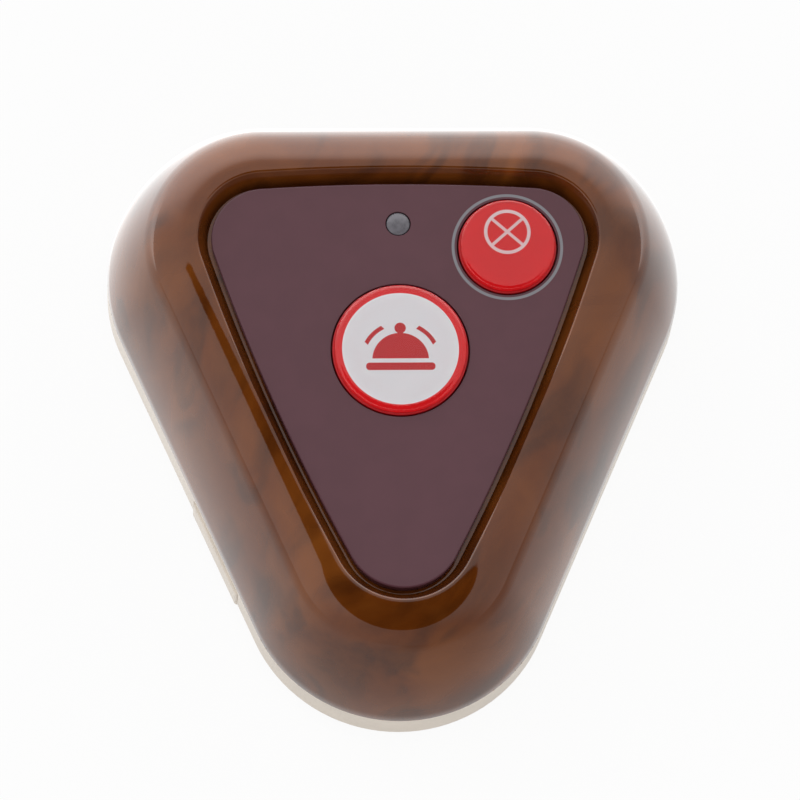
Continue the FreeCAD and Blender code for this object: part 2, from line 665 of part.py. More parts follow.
def battery():
    """Plus pole, a small nub, towards the middle of the case."""
    body_length = BATTERY_LENGTH - BATTERY_NUB_HEIGHT
    body = Part.makeCylinder(BATTERY_DIAMETER / 2, body_length,
                             Vector(BATTERY_INNER + BATTERY_NUB_HEIGHT, 0, BATTERY_Z), Vector(1, 0, 0))
    nub = Part.makeCylinder(BATTERY_NUB / 2, BATTERY_NUB_HEIGHT,
                            Vector(BATTERY_INNER, 0, BATTERY_Z), Vector(1, 0, 0))
    return in_bay(fused([body, nub]))


def contact(x):
    """Flat plate against the end of the bay, with a tail up into the board."""
    low = BATTERY_Z - CONTACT_WIDTH / 2
    plate = tail(x, CONTACT_WIDTH / 2, low, BAY_TOP - CONTACT_FIT)
    leg = tail(x, CONTACT_TAIL / 2, low, BOARD_TOP + CONTACT_THICKNESS)
    return in_bay(fused([plate, leg]))


def battery_spring():
    """Leaf bent out of flat strip, from the minus contact to the battery's end."""
    near, far = contact_stations()[1], BATTERY_OUTER
    leave, reach = (BATTERY_Z + LEAF_HEIGHT * (share - 0.5) for share in LEAF_LANDS)
    low, high = BATTERY_Z - LEAF_HEIGHT / 2, BATTERY_Z + LEAF_HEIGHT / 2
    front = [(near, low), (near, leave), (far + LEAF_THICKNESS, reach),
             (far + 2 * LEAF_THICKNESS, high)]
    back = [(x - LEAF_THICKNESS, z) for x, z in reversed(front)]
    points = [Vector(x, -LEAF_WIDTH / 2, z) for x, z in front + back + front[:1]]
    return in_bay(Part.Face(Part.makePolygon(points)).extrude(Vector(0, LEAF_WIDTH, 0)))


# ---- base ------------------------------------------------------------------
def base_case():
    tray = CASE.slab(FOOT_STAND, SEAM_Z)
    tray = tray.makeChamfer(BASE_EDGE, edges_at(tray, FOOT_STAND))
    tray = tray.cut(CASE.grown(-BASE_WALL).slab(FLOOR_TOP, SEAM_Z + PAST))
    lip = CASE.grown(-LIP_INSET).slab(SEAM_Z - LIP_HEIGHT, SEAM_Z + LIP_HEIGHT)
    lip = lip.cut(CASE.grown(-BASE_WALL).slab(FLOOR_TOP, SEAM_Z + LIP_HEIGHT + PAST))
    adds = [lip]
    for place in screw_places():
        adds.append(cylinder(place.x, place.y, FLOOR_TOP - PAST, SEAM_Z + TUBE_ABOVE_SEAM, BASE_TUBE))
    for x, y in board_screw_places():
        adds.append(cylinder(x, y, FLOOR_TOP - PAST, BOARD_BOTTOM, BOARD_POST))
    bay = block(BAY_INNER - BAY_WALL, BAY_OUTER + BAY_WALL, -BAY_HALF - BAY_WALL, BAY_HALF + BAY_WALL,
                FLOOR_TOP - PAST / 2, BAY_TOP + BAY_ROOF)
    adds.append(in_bay(bay))
    base = tray.multiFuse(adds)
    return base.cut(fused_tools(base_cuts())).removeSplitter()


def base_cuts():
    cuts = []
    for place in screw_places():
        cuts.append(cylinder(place.x, place.y, FOOT_STAND - PAST, SCREW_SEAT,
                             CASE_SCREW_HEAD + 2 * SCREW_CLEARANCE))
        cuts.append(cylinder(place.x, place.y, SCREW_SEAT - PAST, SEAM_Z + TUBE_ABOVE_SEAM + PAST,
                             CASE_SCREW_THREAD + 2 * SCREW_CLEARANCE))
    for x, y in board_screw_places():
        cuts.append(cylinder(x, y, BOARD_TOP - BOARD_SCREW_LENGTH - PAST, BOARD_BOTTOM + PAST,
                             BOARD_SCREW_THREAD + 2 * THREAD_FIT))
    gap = DOOR_CLEARANCE
    groove_low = FOOT_STAND + DOOR_LEDGE
    groove_top = DOOR_TOP + gap
    outside = DOOR_FACE + PAST
    plate = BAY_HALF + gap
    cuts.append(in_bay(block(BAY_INNER, BAY_OUTER, -BAY_HALF, BAY_HALF, groove_low, BAY_TOP)))
    cuts.append(in_bay(block(BAY_INNER, outside, -plate, plate, FOOT_STAND - PAST, groove_top)))
    tongue = BAY_HALF + DOOR_TONGUE + gap
    cuts.append(in_bay(block(BAY_INNER, outside, -tongue, tongue, groove_low, groove_top)))
    end = DOOR_END_WIDTH / 2 + gap
    wall_face = CASE_RADIUS - DOOR_END_THICKNESS - gap
    cuts.append(in_bay(block(wall_face, outside, -end, end, FOOT_STAND - PAST,
                             FOOT_STAND + DOOR_END_HEIGHT + gap)))
    for x in contact_stations():
        slot = tail(x, CONTACT_TAIL / 2, BAY_TOP - PAST, BAY_TOP + BAY_ROOF + PAST, CONTACT_FIT)
        cuts.append(in_bay(slot))
    return cuts


def battery_door():
    """Drawer plate with tongues in the floor's grooves and an end in the side wall."""
    gap = DOOR_CLEARANCE
    inner = BAY_INNER + gap
    wall = CASE_RADIUS - DOOR_END_THICKNESS
    plate = block(inner, wall + gap, -BAY_HALF, BAY_HALF, FOOT_STAND, DOOR_TOP)
    tongue = block(inner, wall + gap, -BAY_HALF - DOOR_TONGUE, BAY_HALF + DOOR_TONGUE,
                   FOOT_STAND + DOOR_LEDGE + gap, DOOR_TOP)
    end = block(wall, DOOR_FACE, -DOOR_END_WIDTH / 2, DOOR_END_WIDTH / 2,
                FOOT_STAND, FOOT_STAND + DOOR_END_HEIGHT)
    outer_edges = [edge for edge in end.Edges if edge.BoundBox.XMin > DOOR_FACE - 1e-4]
    end = end.makeFillet(DOOR_END_ROUND, outer_edges)
    door = fused([plate, tongue, end])
    for index in range(GRIP_COUNT):
        x = wall - (index + 1) * GRIP_PITCH
        door = door.cut(block(x, x + GRIP_WIDTH, -BAY_HALF + GRIP_PITCH, BAY_HALF - GRIP_PITCH,
                              FOOT_STAND - PAST, FOOT_STAND + GRIP_DEPTH))
    return in_bay(door)


# ---- feet and screws -------------------------------------------------------
def rubber_feet():
    feet = []
    for centre, _ in CASE.corners():
        feet.append(cylinder(centre.x, centre.y, 0, FOOT_STAND, FOOT_DIAMETER))
    return Part.makeCompound(feet)


def screw(thread, length, head, head_height):
    """Cross-head screw pointing up from the origin, its seat at Z = 0."""
    body = turned([(0, -head_height), (head / 2, -head_height), (head / 2, 0), (thread / 2, 0),
                   (thread / 2, length), (0, length)])
    depth = head_height * RECESS_DEPTH
    arm, width = head * RECESS_ARM, head * RECESS_WIDTH
    for long_x, long_y in ((arm, width), (width, arm)):
        body = body.cut(block(-long_x, long_x, -long_y, long_y, -head_height - PAST, depth - head_height))
    return body


def case_screws():
    one = screw(CASE_SCREW_THREAD, CASE_SCREW_LENGTH, CASE_SCREW_HEAD, CASE_SCREW_HEAD_HEIGHT)
    return Part.makeCompound([moved(one, p.x, p.y, SCREW_SEAT) for p in screw_places()])


def board_screws():
    one = screw(BOARD_SCREW_THREAD, BOARD_SCREW_LENGTH, BOARD_SCREW_HEAD, BOARD_SCREW_HEAD_HEIGHT)
    one.rotate(Vector(), Vector(1, 0, 0), 180)
    return Part.makeCompound([moved(one, x, y, BOARD_TOP) for x, y in board_screw_places()])


# ---- the nodes -------------------------------------------------------------
NODES = {
    "top_shell": top_shell,
    "faceplate": faceplate,
    "call_button_cap": lambda: button_cap(*CALL),
    "call_button_label": lambda: button_label(*CALL),
    "call_button_dome": lambda: button_dome(*CALL),
    "cancel_button_cap": lambda: button_cap(*CANCEL),
    "cancel_button_label": lambda: button_label(*CANCEL),
    "cancel_button_dome": lambda: button_dome(*CANCEL),
    "led": led,
    "led_leads": led_leads,
    "circuit_board": circuit_board,
    "encoder_chip": encoder_chip,
    "chip_pins": chip_pins,
    "rf_resonator": rf_resonator,
    "smd_parts": smd_parts,
    "antenna_loop": antenna_loop,
    "call_switch_body": lambda: switch_body(*CALL[:2]),
    "call_switch_plunger": lambda: switch_plunger(*CALL[:2]),
    "cancel_switch_body": lambda: switch_body(*CANCEL[:2]),
    "cancel_switch_plunger": lambda: switch_plunger(*CANCEL[:2]),
    "switch_terminals": switch_terminals,
    "base_case": base_case,
    "battery_door": battery_door,
    "battery": battery,
    "battery_contact_plus": lambda: contact(contact_stations()[0]),
    "battery_contact_minus": lambda: contact(contact_stations()[1]),
    "battery_spring": battery_spring,
    "case_screws": case_screws,
    "board_screws": board_screws,
    "rubber_feet": rubber_feet,
}


def main():
    os.makedirs("parts", exist_ok=True)
    for name, build in NODES.items():
        shape = build()
        shape.exportStep(f"parts/{name}.step")
        print(f"{name}: {len(shape.Solids)} solids, {shape.Volume:.1f} mm3, valid {shape.isValid()}")


main()
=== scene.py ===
"""Looks of a wireless call button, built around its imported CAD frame.

Lengths in the classes are millimetres, as on the drawing of the object, and become metres
where a mesh or a shader takes them. +Z is up, +Y is the flat rear side and the nose points
to -Y.
"""

import logging
import math
from dataclasses import dataclass, replace
from enum import Enum
from functools import cache
from typing import Optional, Sequence

import bmesh
import bpy
from mathutils import Matrix, Vector


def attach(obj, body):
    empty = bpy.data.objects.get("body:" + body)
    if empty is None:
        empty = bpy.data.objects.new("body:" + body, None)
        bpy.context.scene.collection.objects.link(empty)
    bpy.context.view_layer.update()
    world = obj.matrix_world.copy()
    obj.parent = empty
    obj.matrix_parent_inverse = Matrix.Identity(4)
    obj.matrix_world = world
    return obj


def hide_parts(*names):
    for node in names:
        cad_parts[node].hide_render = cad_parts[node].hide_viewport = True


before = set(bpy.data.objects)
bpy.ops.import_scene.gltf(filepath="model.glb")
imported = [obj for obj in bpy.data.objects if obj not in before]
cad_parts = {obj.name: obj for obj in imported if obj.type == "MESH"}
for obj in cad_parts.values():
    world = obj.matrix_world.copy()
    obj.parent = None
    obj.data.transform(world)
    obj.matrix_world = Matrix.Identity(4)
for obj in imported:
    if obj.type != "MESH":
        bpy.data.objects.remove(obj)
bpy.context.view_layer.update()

LOG = logging.getLogger("call_button")
MM = 0.001
MERGE = 1e-3 * MM  # points closer than this become one
LEVEL = 0.9999  # a face whose normal is this upright is shaded flat
CRISP = 32.0  # degrees above which an edge stays sharp, where a piece names no other
TURN_STEPS = 96  # edges round a window and round most turned pieces

Point = tuple[float, float]
Colour = tuple[float, float, float]
Mesh = bmesh.types.BMesh
Vert = bmesh.types.BMVert
Edges = list[bmesh.types.BMEdge]
Material = bpy.types.Material
Node = bpy.types.Node
Tree = bpy.types.NodeTree


# ---- measures shared by several pieces ----

SEAM = 6.8  # height of the joint between tray and shell
CREST = 25.9
PLATE_TOP = 24.6
PLATE_BOTTOM = 23.1
DECK_BOTTOM = 21.5
CASE_RADIUS = 19.95
CORE_WIDTH = 34.1
CORE_DEPTH = 39.0
REAR_Y = 19.5
PLATE_GAP = 0.45  # groove between the faceplate and the well, on the deck
WELL_RUN = 1.35  # sideways run of the well's sloping wall


class Body(Enum):
    """The parts of the object that move on their own."""

    CASE = "case"
    CALL = "call_button"
    CANCEL = "cancel_button"
    CALL_PLUNGER = "call_plunger"
    CANCEL_PLUNGER = "cancel_plunger"
    DOOR = "battery_door"


# ---- outlines and profiles ----


@dataclass(frozen=True)
class RoundedTriangle:
    """Outline with three rounded corners and its flat side to the rear."""

    rear_radius: float
    nose_radius: float
    bend: float = 0.0
    corner_steps: int = 48
    side_steps: int = 12

    def grown(self, distance: float) -> "RoundedTriangle":
        """Return the parallel outline, distance further out."""
        return replace(
            self,
            rear_radius=self.rear_radius + distance,
            nose_radius=self.nose_radius + distance,
            bend=self.bend / (1 + self.bend * distance),
        )

    def corners(self) -> list[tuple[Vector, float]]:
        """Return centre and radius of each corner, clockwise from the rear left."""
        half = CORE_WIDTH / 2
        return [
            (Vector((-half, REAR_Y, 0)), self.rear_radius),
            (Vector((half, REAR_Y, 0)), self.rear_radius),
            (Vector((0, REAR_Y - CORE_DEPTH, 0)), self.nose_radius),
        ]

    def side(self, index: int) -> tuple[Vector, Vector, Optional[Vector]]:
        """Find the side that follows a corner.

        Args:
            index: which corner, from 0 to 2.

        Returns:
            The side's start, its end, and the centre of its curve or None if straight.
        """
        corners = self.corners()
        (start, r_start), (end, r_end) = corners[index], corners[(index + 1) % 3]
        length = (end - start).length
        along = (end - start) / length
        out = Vector((-along.y, along.x, 0))
        if self.bend == 0:
            lean = (r_start - r_end) / length
            normal = along * lean + out * math.sqrt(1 - lean * lean)
            return start + normal * r_start, end + normal * r_end, None
        radius = 1 / self.bend
        to_start, to_end = radius - r_start, radius - r_end
        shift = (to_start**2 - to_end**2 + length**2) / (2 * length)
        centre = start + along * shift - out * math.sqrt(to_start**2 - shift**2)
        first = centre + (start - centre).normalized() * radius
        last = centre + (end - centre).normalized() * radius
        return first, last, centre

    def trace(self, bm: Mesh, height: float) -> Edges:
        """Draw the outline as a closed chain of edges.

        Args:
            bm: mesh that receives it.
            height: level of the outline.

        Returns:
            The new edges.
        """
        lift = Vector((0, 0, height))
        first = bmesh.ops.create_vert(bm, co=(self.side(2)[1] + lift) * MM)["vert"][0]
        tip = first
        for index in range(3):
            centre, _ = self.corners()[index]
            arrive, leave = self.side((index + 2) % 3)[1], self.side(index)[0]
            turn = (leave - centre).angle(arrive - centre)
            tip = swing(bm, tip, centre + lift, -turn, self.corner_steps)
            start, end, middle = self.side(index)
            if middle is None:
                step = (end - start) / self.side_steps
                tip = swing(bm, tip, Vector(), 0.0, self.side_steps, step)
            else:
                turn = (start - middle).angle(end - middle)
                tip = swing(bm, tip, middle + lift, -turn, self.side_steps)
        bmesh.ops.pointmerge(bm, verts=[first, tip], merge_co=first.co)
        return loop_through(first)


Station = tuple[RoundedTriangle, float]  # an outline and its height


def swing(
    bm: Mesh, tip: Vert, centre: Vector, angle: float, steps: int, shift: Vector = Vector()
) -> Vert:
    """Draw a chain of edges on from a point, round an upright axis or straight.

    Args:
        bm: mesh that receives it.
        tip: point the chain goes on from.
        centre: centre of the turn.
        angle: whole turn in radians, counter-clockwise from above.
        steps: number of edges.
        shift: travel of each step.

    Returns:
        The chain's last point.
    """
    made = bmesh.ops.spin(
        bm, geom=[tip], cent=centre * MM, axis=(0, 0, 1), dvec=shift * MM, angle=angle, steps=steps
    )
    return last_point(made)


def last_point(made: dict[str, list]) -> Vert:
    """Return the point that a spun point ended at."""
    return next(item for item in made["geom_last"] if isinstance(item, Vert))


def loop_through(start: Vert) -> Edges:
    """Return the edges of the closed chain through a point."""
    edges: Edges = []
    at = start
    while not edges or at != start:
        edge = next(e for e in at.link_edges if not edges or e != edges[-1])
        edges.append(edge)
        at = edge.other_vert(at)
    return edges


def skin(bm: Mesh, loops: Sequence[Edges]) -> None:
    """Span each closed loop to the next one with a band of faces.

    The second loop is held 20 mm higher meanwhile, so that loops at one level pair up too.
    """
    apart = Vector((0, 0, 20 * MM))
    for first, second in zip(loops, loops[1:]):
        verts = list({vert for edge in second for vert in edge.verts})
        bmesh.ops.translate(bm, verts=verts, vec=apart)
        bmesh.ops.bridge_loops(bm, edges=first + second)
        bmesh.ops.translate(bm, verts=verts, vec=-apart)


def fill(bm: Mesh, edges: Edges, upwards: bool) -> None:
    """Fill a level outline, with holes where it has inner loops."""
    normal = Vector((0, 0, 1 if upwards else -1))
    bmesh.ops.triangle_fill(bm, use_beauty=True, edges=edges, normal=normal)


class Profile:
    """Half section in the XZ plane that becomes a turned piece."""

    def __init__(self, radius: float, height: float) -> None:
        """Start at a radius and a height."""
        self.bm = bmesh.new()
        start = bmesh.ops.create_vert(self.bm, co=Vector((radius, 0, height)) * MM)
        self.tip = start["vert"][0]

    def line(self, *points: Point) -> "Profile":
        """Go straight to each (radius, height) in turn and return the profile."""
        for radius, height in points:
            made = bmesh.ops.extrude_vert_indiv(self.bm, verts=[self.tip])
            self.tip = made["verts"][0]
            self.tip.co = Vector((radius, 0, height)) * MM
        return self

    def oval(self, centre: Point, size: Point, steps: int) -> "Profile":
        """Go on round the upper outer quarter of an oval, from its side to its top.

        Args:
            centre: radius and height of the oval's middle, above the rest of the section.
            size: half its width and half its height.
            steps: number of edges.

        Returns:
            The profile.
        """
        middle = Vector((centre[0], 0, centre[1])) * MM
        made = bmesh.ops.spin(
            self.bm, geom=[self.tip], cent=middle, axis=(0, -1, 0), dvec=(0, 0, 0),
            angle=math.pi / 2, steps=steps,
        )
        self.tip = last_point(made)
        arc = [vert for vert in self.bm.verts if vert.co.z > middle.z]
        squeeze = Vector((1, 1, size[1] / size[0]))
        space = Matrix.Translation((0, 0, -middle.z))
        bmesh.ops.scale(self.bm, vec=squeeze, verts=arc, space=space)
        return self

    def turned(self, x: float, y: float, steps: int = TURN_STEPS) -> Mesh:
        """Turn the section about an upright axis at x, y and return the closed mesh."""
        bm = self.bm
        bmesh.ops.spin(
            bm, geom=bm.verts[:] + bm.edges[:], cent=(0, 0, 0), axis=(0, 0, 1), dvec=(0, 0, 0),
            angle=2 * math.pi, steps=steps, use_merge=True,
        )
        bmesh.ops.remove_doubles(bm, verts=bm.verts, dist=MERGE)
        bmesh.ops.recalc_face_normals(bm, faces=bm.faces)
        bmesh.ops.translate(bm, verts=bm.verts, vec=Vector((x, y, 0)) * MM)
        return bm


# ---- shader nodes ----

Socket = bpy.types.NodeSocket
Value = float | Sequence[float] | Socket
Inputs = dict[str | int, Value]


@dataclass
class Nodes:
    """Adds and links the nodes of one shader tree."""

    tree: Tree

    def add(self, kind: str, inputs: Optional[Inputs] = None, **settings: object) -> Node:
        """Add a node.

        Args:
            kind: Blender's name of the node type, without its ShaderNode prefix.
            inputs: value or source of each named input.
            settings: attributes of the node.

        Returns:
            The node.
        """
        node = self.tree.nodes.new("ShaderNode" + kind)
        for name, value in settings.items():
            setattr(node, name, value)
        self.feed(node, inputs or {})
        return node

    def feed(self, node: Node, inputs: Inputs) -> None:
        """Give each named input of a node its source or its own value."""
        for name, value in inputs.items():
            self.plug(node.inputs[name], value)

    def plug(self, socket: Socket, value: Value) -> None:
        """Link a source to an input, or set the input's own value."""
        if isinstance(value, Socket):
            self.tree.links.new(value, socket)
        elif isinstance(socket.default_value, float) or isinstance(value, (int, float)):
            socket.default_value = value
        else:
            wanted = len(socket.default_value)
            socket.default_value = (tuple(value) + (1.0,))[:wanted]

    def math(self, operation: str, *values: Value, clamp: bool = False) -> Socket:
        """Return the result of a Math node."""
        inputs = dict(enumerate(values))
        return self.add("Math", inputs, operation=operation, use_clamp=clamp).outputs[0]

    def vector(self, operation: str, *values: Value) -> Socket:
        """Return the result of a Vector Math node, a number for LENGTH and DOT_PRODUCT."""
        node = self.add("VectorMath", dict(enumerate(values)), operation=operation)
        return node.outputs["Value" if operation in ("LENGTH", "DOT_PRODUCT") else "Vector"]

    def parts(self, vector: Socket) -> Inputs:
        """Return the X, Y and Z of a vector."""
        return self.add("SeparateXYZ", {"Vector": vector}).outputs

    def place(self, centre: Sequence[float] = (0, 0, 0), turn: float = 0.0) -> Socket:
        """Return Object coordinates measured from a centre, in metres.

        Args:
            centre: point that becomes the origin.
            turn: degrees about Z that the pattern is turned by.

        Returns:
            The coordinates.
        """
        source = self.add("TexCoord").outputs["Object"]
        moved = self.vector("SUBTRACT", source, tuple(v * MM for v in centre))
        inputs = {"Rotation": (0, 0, -math.radians(turn)), "Vector": moved}
        return self.add("Mapping", inputs, vector_type="POINT").outputs[0]

    def noise(
        self, vector: Socket, scale: float, detail: float = 2, rough: float = 0.5, warp: float = 0.0
    ) -> Socket:
        """Return noise from 0 to 1 at so many blobs a metre."""
        inputs = {"Vector": vector, "Scale": scale, "Detail": detail}
        inputs |= {"Roughness": rough, "Distortion": warp}
        return self.add("TexNoise", inputs).outputs["Fac"]

    def ramp(
        self, value: Socket, low: Value, high: Value, to_low: Value = 0.0, to_high: Value = 1.0
    ) -> Socket:
        """Return a value carried smoothly from one range to another."""
        inputs = {"Value": value, "From Min": low, "From Max": high}
        inputs |= {"To Min": to_low, "To Max": to_high}
        return self.add("MapRange", inputs, interpolation_type="SMOOTHSTEP").outputs["Result"]

    def mix(self, share: Value, low: Value, high: Value) -> Socket:
        """Return a blend of two colours."""
        node = self.add("Mix", {"Factor": share}, data_type="RGBA")
        colours = [socket for socket in node.inputs if socket.type == "RGBA"]
        self.plug(colours[0], low)
        self.plug(colours[1], high)
        return next(socket for socket in node.outputs if socket.type == "RGBA")

    def closed(self, outputs: Inputs) -> Tree:
        """Feed the outputs of a node group and return its tree."""
        self.feed(self.tree.nodes.new("NodeGroupOutput"), outputs)
        return self.tree

    def bump(self, height: Socket, rise: float, strength: float) -> Socket:
        """Return normals that follow a height, in which 1 stands for a rise."""
        inputs = {"Height": height, "Distance": rise * MM, "Strength": strength}
        return self.add("Bump", inputs).outputs["Normal"]


def new_group(name: str, inputs: dict[str, str], outputs: dict[str, str]) -> tuple[Nodes, Inputs]:
    """Start a node group that several materials share.

    Args:
        name: the group's name.
        inputs: kind of each input, Float or Vector.
        outputs: kind of each output.

    Returns:
        Its nodes, and its inputs as sources.
    """
    tree = bpy.data.node_groups.new(name, "ShaderNodeTree")
    for way, sockets in (("INPUT", inputs), ("OUTPUT", outputs)):
        for label, kind in sockets.items():
            tree.interface.new_socket(label, in_out=way, socket_type="NodeSocket" + kind)
    return Nodes(tree), tree.nodes.new("NodeGroupInput").outputs


@cache
def bar_group() -> Tree:
    """Return the node group of a mask that is 1 inside a rounded bar about the origin."""
    inputs = {"Vector": "Vector", "Half": "Vector", "Round": "Float", "Blur": "Float"}
    nodes, source = new_group("bar", inputs, {"Mask": "Float"})
    flat = nodes.vector("MULTIPLY", source["Vector"], (1, 1, 0))
    past = nodes.vector("SUBTRACT", nodes.vector("ABSOLUTE", flat), source["Half"])
    far = nodes.vector("LENGTH", nodes.vector("MAXIMUM", past, (0, 0, 0)))
    inner = nodes.math("SUBTRACT", source["Round"], source["Blur"])
    outer = nodes.math("ADD", source["Round"], source["Blur"])
    return nodes.closed({"Mask": nodes.ramp(far, outer, inner)})


@cache
def grain_group() -> Tree:
    """Return the node group of a surface's fine grain: a height, a roughness and its blotches."""
    inputs = {"Vector": "Vector", "Depth": "Float", "Level": "Float", "Change": "Float"}
    outputs = {"Height": "Float", "Roughness": "Float", "Blotch": "Float"}
    nodes, source = new_group("surface grain", inputs, outputs)
    fine = nodes.noise(source["Vector"], scale=3200)
    coarse = nodes.noise(source["Vector"], scale=260, detail=3)
    change = nodes.math("MULTIPLY", nodes.math("SUBTRACT", coarse, 0.5), source["Change"])
    results = {
        "Height": nodes.math("MULTIPLY", fine, source["Depth"]),
        "Roughness": nodes.math("ADD", source["Level"], change, clamp=True),
        "Blotch": coarse,
    }
    return nodes.closed(results)


class Surface:
    """A finish of the object: its name, and what feeds each input of its shader."""

    name: str

    def inputs(self, nodes: Nodes) -> Inputs:
        """Return what feeds the shader; each finish has its own."""
        raise NotImplementedError

    def make(self) -> Material:
        """Build the material and return it."""
        material = bpy.data.materials.new(self.name)
        material.use_nodes = True
        nodes = Nodes(material.node_tree)
        principled = next(n for n in nodes.tree.nodes if n.type == "BSDF_PRINCIPLED")
        nodes.feed(principled, self.inputs(nodes))
        return material


def shade(colour: Colour, factor: float) -> Colour:
    """Return a colour made lighter or darker by a factor."""
    return tuple(min(1.0, part * factor) for part in colour)


# ---- finishes ----


@dataclass(frozen=True)
class Finish(Surface):
    """Solid-coloured material with a fine grain of its own."""

    name: str
    colour: Colour
    roughness: float = 0.4
    metallic: float = 0.0
    depth: float = 1.0
    blotch: float = 0.08
    coat: float = 0.0
    specular: float = 0.5
    unevenness: float = 0.12  # change of the roughness, as a share of it

    def pattern(self, nodes: Nodes, base: Socket) -> Socket:
        """Return the colour with this finish's pattern on it; plain here."""
        return base

    def inputs(self, nodes: Nodes) -> Inputs:
        """Return what feeds the shader."""
        values = {"Vector": nodes.place(), "Depth": self.depth, "Level": self.roughness}
        values["Change"] = self.unevenness * self.roughness
        grain = nodes.add("Group", values, node_tree=grain_group()).outputs
        dark, light = (shade(self.colour, 1 + way * self.blotch) for way in (-1, 1))
        base = nodes.mix(nodes.ramp(grain["Blotch"], 0.3, 0.7), dark, light)
        return {
            "Base Color": self.pattern(nodes, base),
            "Roughness": grain["Roughness"],
            "Normal": nodes.bump(grain["Height"], rise=0.01, strength=0.6),
            "Metallic": self.metallic,
            "Coat Weight": self.coat,
            "Specular IOR Level": self.specular,
        }


@dataclass(frozen=True)
class Figure:
    """One layer of wood figure: stretched noise that lays a colour on where it is high."""

    colour: Colour
    scale: float
    stretch: tuple[float, float, float]
    low: float
    high: float
    share: float
    detail: float = 2
    rough: float = 0.5
    warp: float = 0.0

    def noise(self, nodes: Nodes, place: Socket) -> Socket:
        """Return the layer's noise."""
        stretched = nodes.vector("MULTIPLY", place, self.stretch)
        return nodes.noise(stretched, self.scale, self.detail, self.rough, self.warp)

    def lay(self, nodes: Nodes, noise: Socket, base: Value) -> Socket:
        """Return a colour with the layer on it."""
        share = nodes.ramp(noise, self.low, self.high, 0.0, self.share)
        return nodes.mix(share, base, self.colour)


@dataclass(frozen=True)
class LacqueredBurl(Surface):
    """Walnut burl print on a pearly ground under clear gloss lacquer."""

    name: str = "lacquered_burl"
    ground: Colour = (0.122, 0.028, 0.003)
    amber: Colour = (0.198, 0.056, 0.008)
    deep: Colour = (0.055, 0.013, 0.002)
    streak: Colour = (0.039, 0.010, 0.003)
    pearl: float = 0.24
    roughness: Point = (0.24, 0.29)
    turn: float = -38.0
    sway: float = 16.0  # how far the figure wanders from straight

    def figures(self) -> list[Figure]:
        """Return the layers from the ground up: clouds, dark patches, streaks and flecks."""
        return [
            Figure(self.amber, 55, (1.0, 1.0, 1.0), 0.40, 0.72, 1.0, detail=3, warp=0.5),
            Figure(self.deep, 80, (1.0, 0.5, 0.8), 0.47, 0.70, 0.65, rough=0.45, warp=0.8),
            Figure(self.streak, 190, (1.0, 0.3, 0.6), 0.50, 0.68, 0.55, warp=0.4),
            Figure(self.amber, 700, (1.0, 0.5, 1.0), 0.30, 0.75, 0.15, rough=0.6),
        ]

    def inputs(self, nodes: Nodes) -> Inputs:
        """Return what feeds the shader."""
        place = nodes.place(turn=self.turn)
        wander = nodes.add("TexNoise", {"Vector": place, "Scale": 34, "Detail": 2}).outputs["Color"]
        centred = nodes.vector("SUBTRACT", wander, (0.5, 0.5, 0.5))
        push = nodes.vector("MULTIPLY", centred, (self.sway * MM,) * 3)
        bent = nodes.vector("ADD", place, push)
        colour = self.ground
        noises = [figure.noise(nodes, bent) for figure in self.figures()]
        for figure, noise in zip(self.figures(), noises):
            colour = figure.lay(nodes, noise, colour)
        wave = nodes.noise(place, scale=420)
        return {
            "Base Color": colour,
            "Roughness": nodes.ramp(noises[0], 0.2, 0.8, *self.roughness),
            "Metallic": self.pearl,
            "Specular IOR Level": 0.0,
            "Coat Weight": 1.0,
            "Coat Roughness": 0.02,
            "Coat IOR": 1.5,
            "Coat Normal": nodes.bump(wave, rise=0.02, strength=0.25),
        }


@dataclass
class Stencil:
    """Draws masks on the level top of a piece, measured from a middle."""

    nodes: Nodes
    middle: Point
    blur: float = 0.03

    def bar(self, at: Point, half: Point, rounding: float, turn: float = 0.0) -> Socket:
        """Return the mask of a bar.

        Args:
            at: the bar's own middle.
            half: half its length and half its width.
            rounding: radius of its corners.
            turn: degrees that it is turned by.

        Returns:
            The mask.
        """
        centre = (self.middle[0] + at[0], self.middle[1] + at[1], 0)
        values = {
            "Vector": self.nodes.place(centre, turn),
            "Half": ((half[0] - rounding) * MM, (half[1] - rounding) * MM, 0),
            "Round": rounding * MM,
            "Blur": self.blur * MM,
        }
        return self.nodes.add("Group", values, node_tree=bar_group()).outputs["Mask"]

    def spot(self, at: Point, radius: float) -> Socket:
        """Return the mask of a dot."""
        return self.bar(at, (radius, radius), radius)

    def hoop(self, at: Point, inner: float, outer: float) -> Socket:
        """Return the mask of a circular line between two radii."""
        return self.nodes.math("SUBTRACT", self.spot(at, outer), self.spot(at, inner))

    def common(self, one: Socket, other: Socket) -> Socket:
        """Return the mask of what two masks share."""
        return self.nodes.math("MULTIPLY", one, other)

    def joined(self, first: Socket, *others: Socket) -> Socket:
        """Return the mask of everything that any of the masks covers."""
        for other in others:
            first = self.nodes.math("MAXIMUM", first, other)
        return first


@dataclass(frozen=True)
class AcrylicPlate(Finish):
    """Back-printed acrylic with a silver line round one window."""

    ring_centre: Point = (0.0, 0.0)
    ring_inner: float = 6.75
    ring_outer: float = 7.12
    silver: Colour = (0.24, 0.24, 0.26)

    def pattern(self, nodes: Nodes, base: Socket) -> Socket:
        """Add the printed ring."""
        ring = Stencil(nodes, self.ring_centre).hoop((0, 0), self.ring_inner, self.ring_outer)
        return nodes.mix(ring, base, self.silver)


class Mark(Enum):
    """Generic signs that a button may carry."""

    BELL = "bell"
    CROSSED_CIRCLE = "crossed circle"


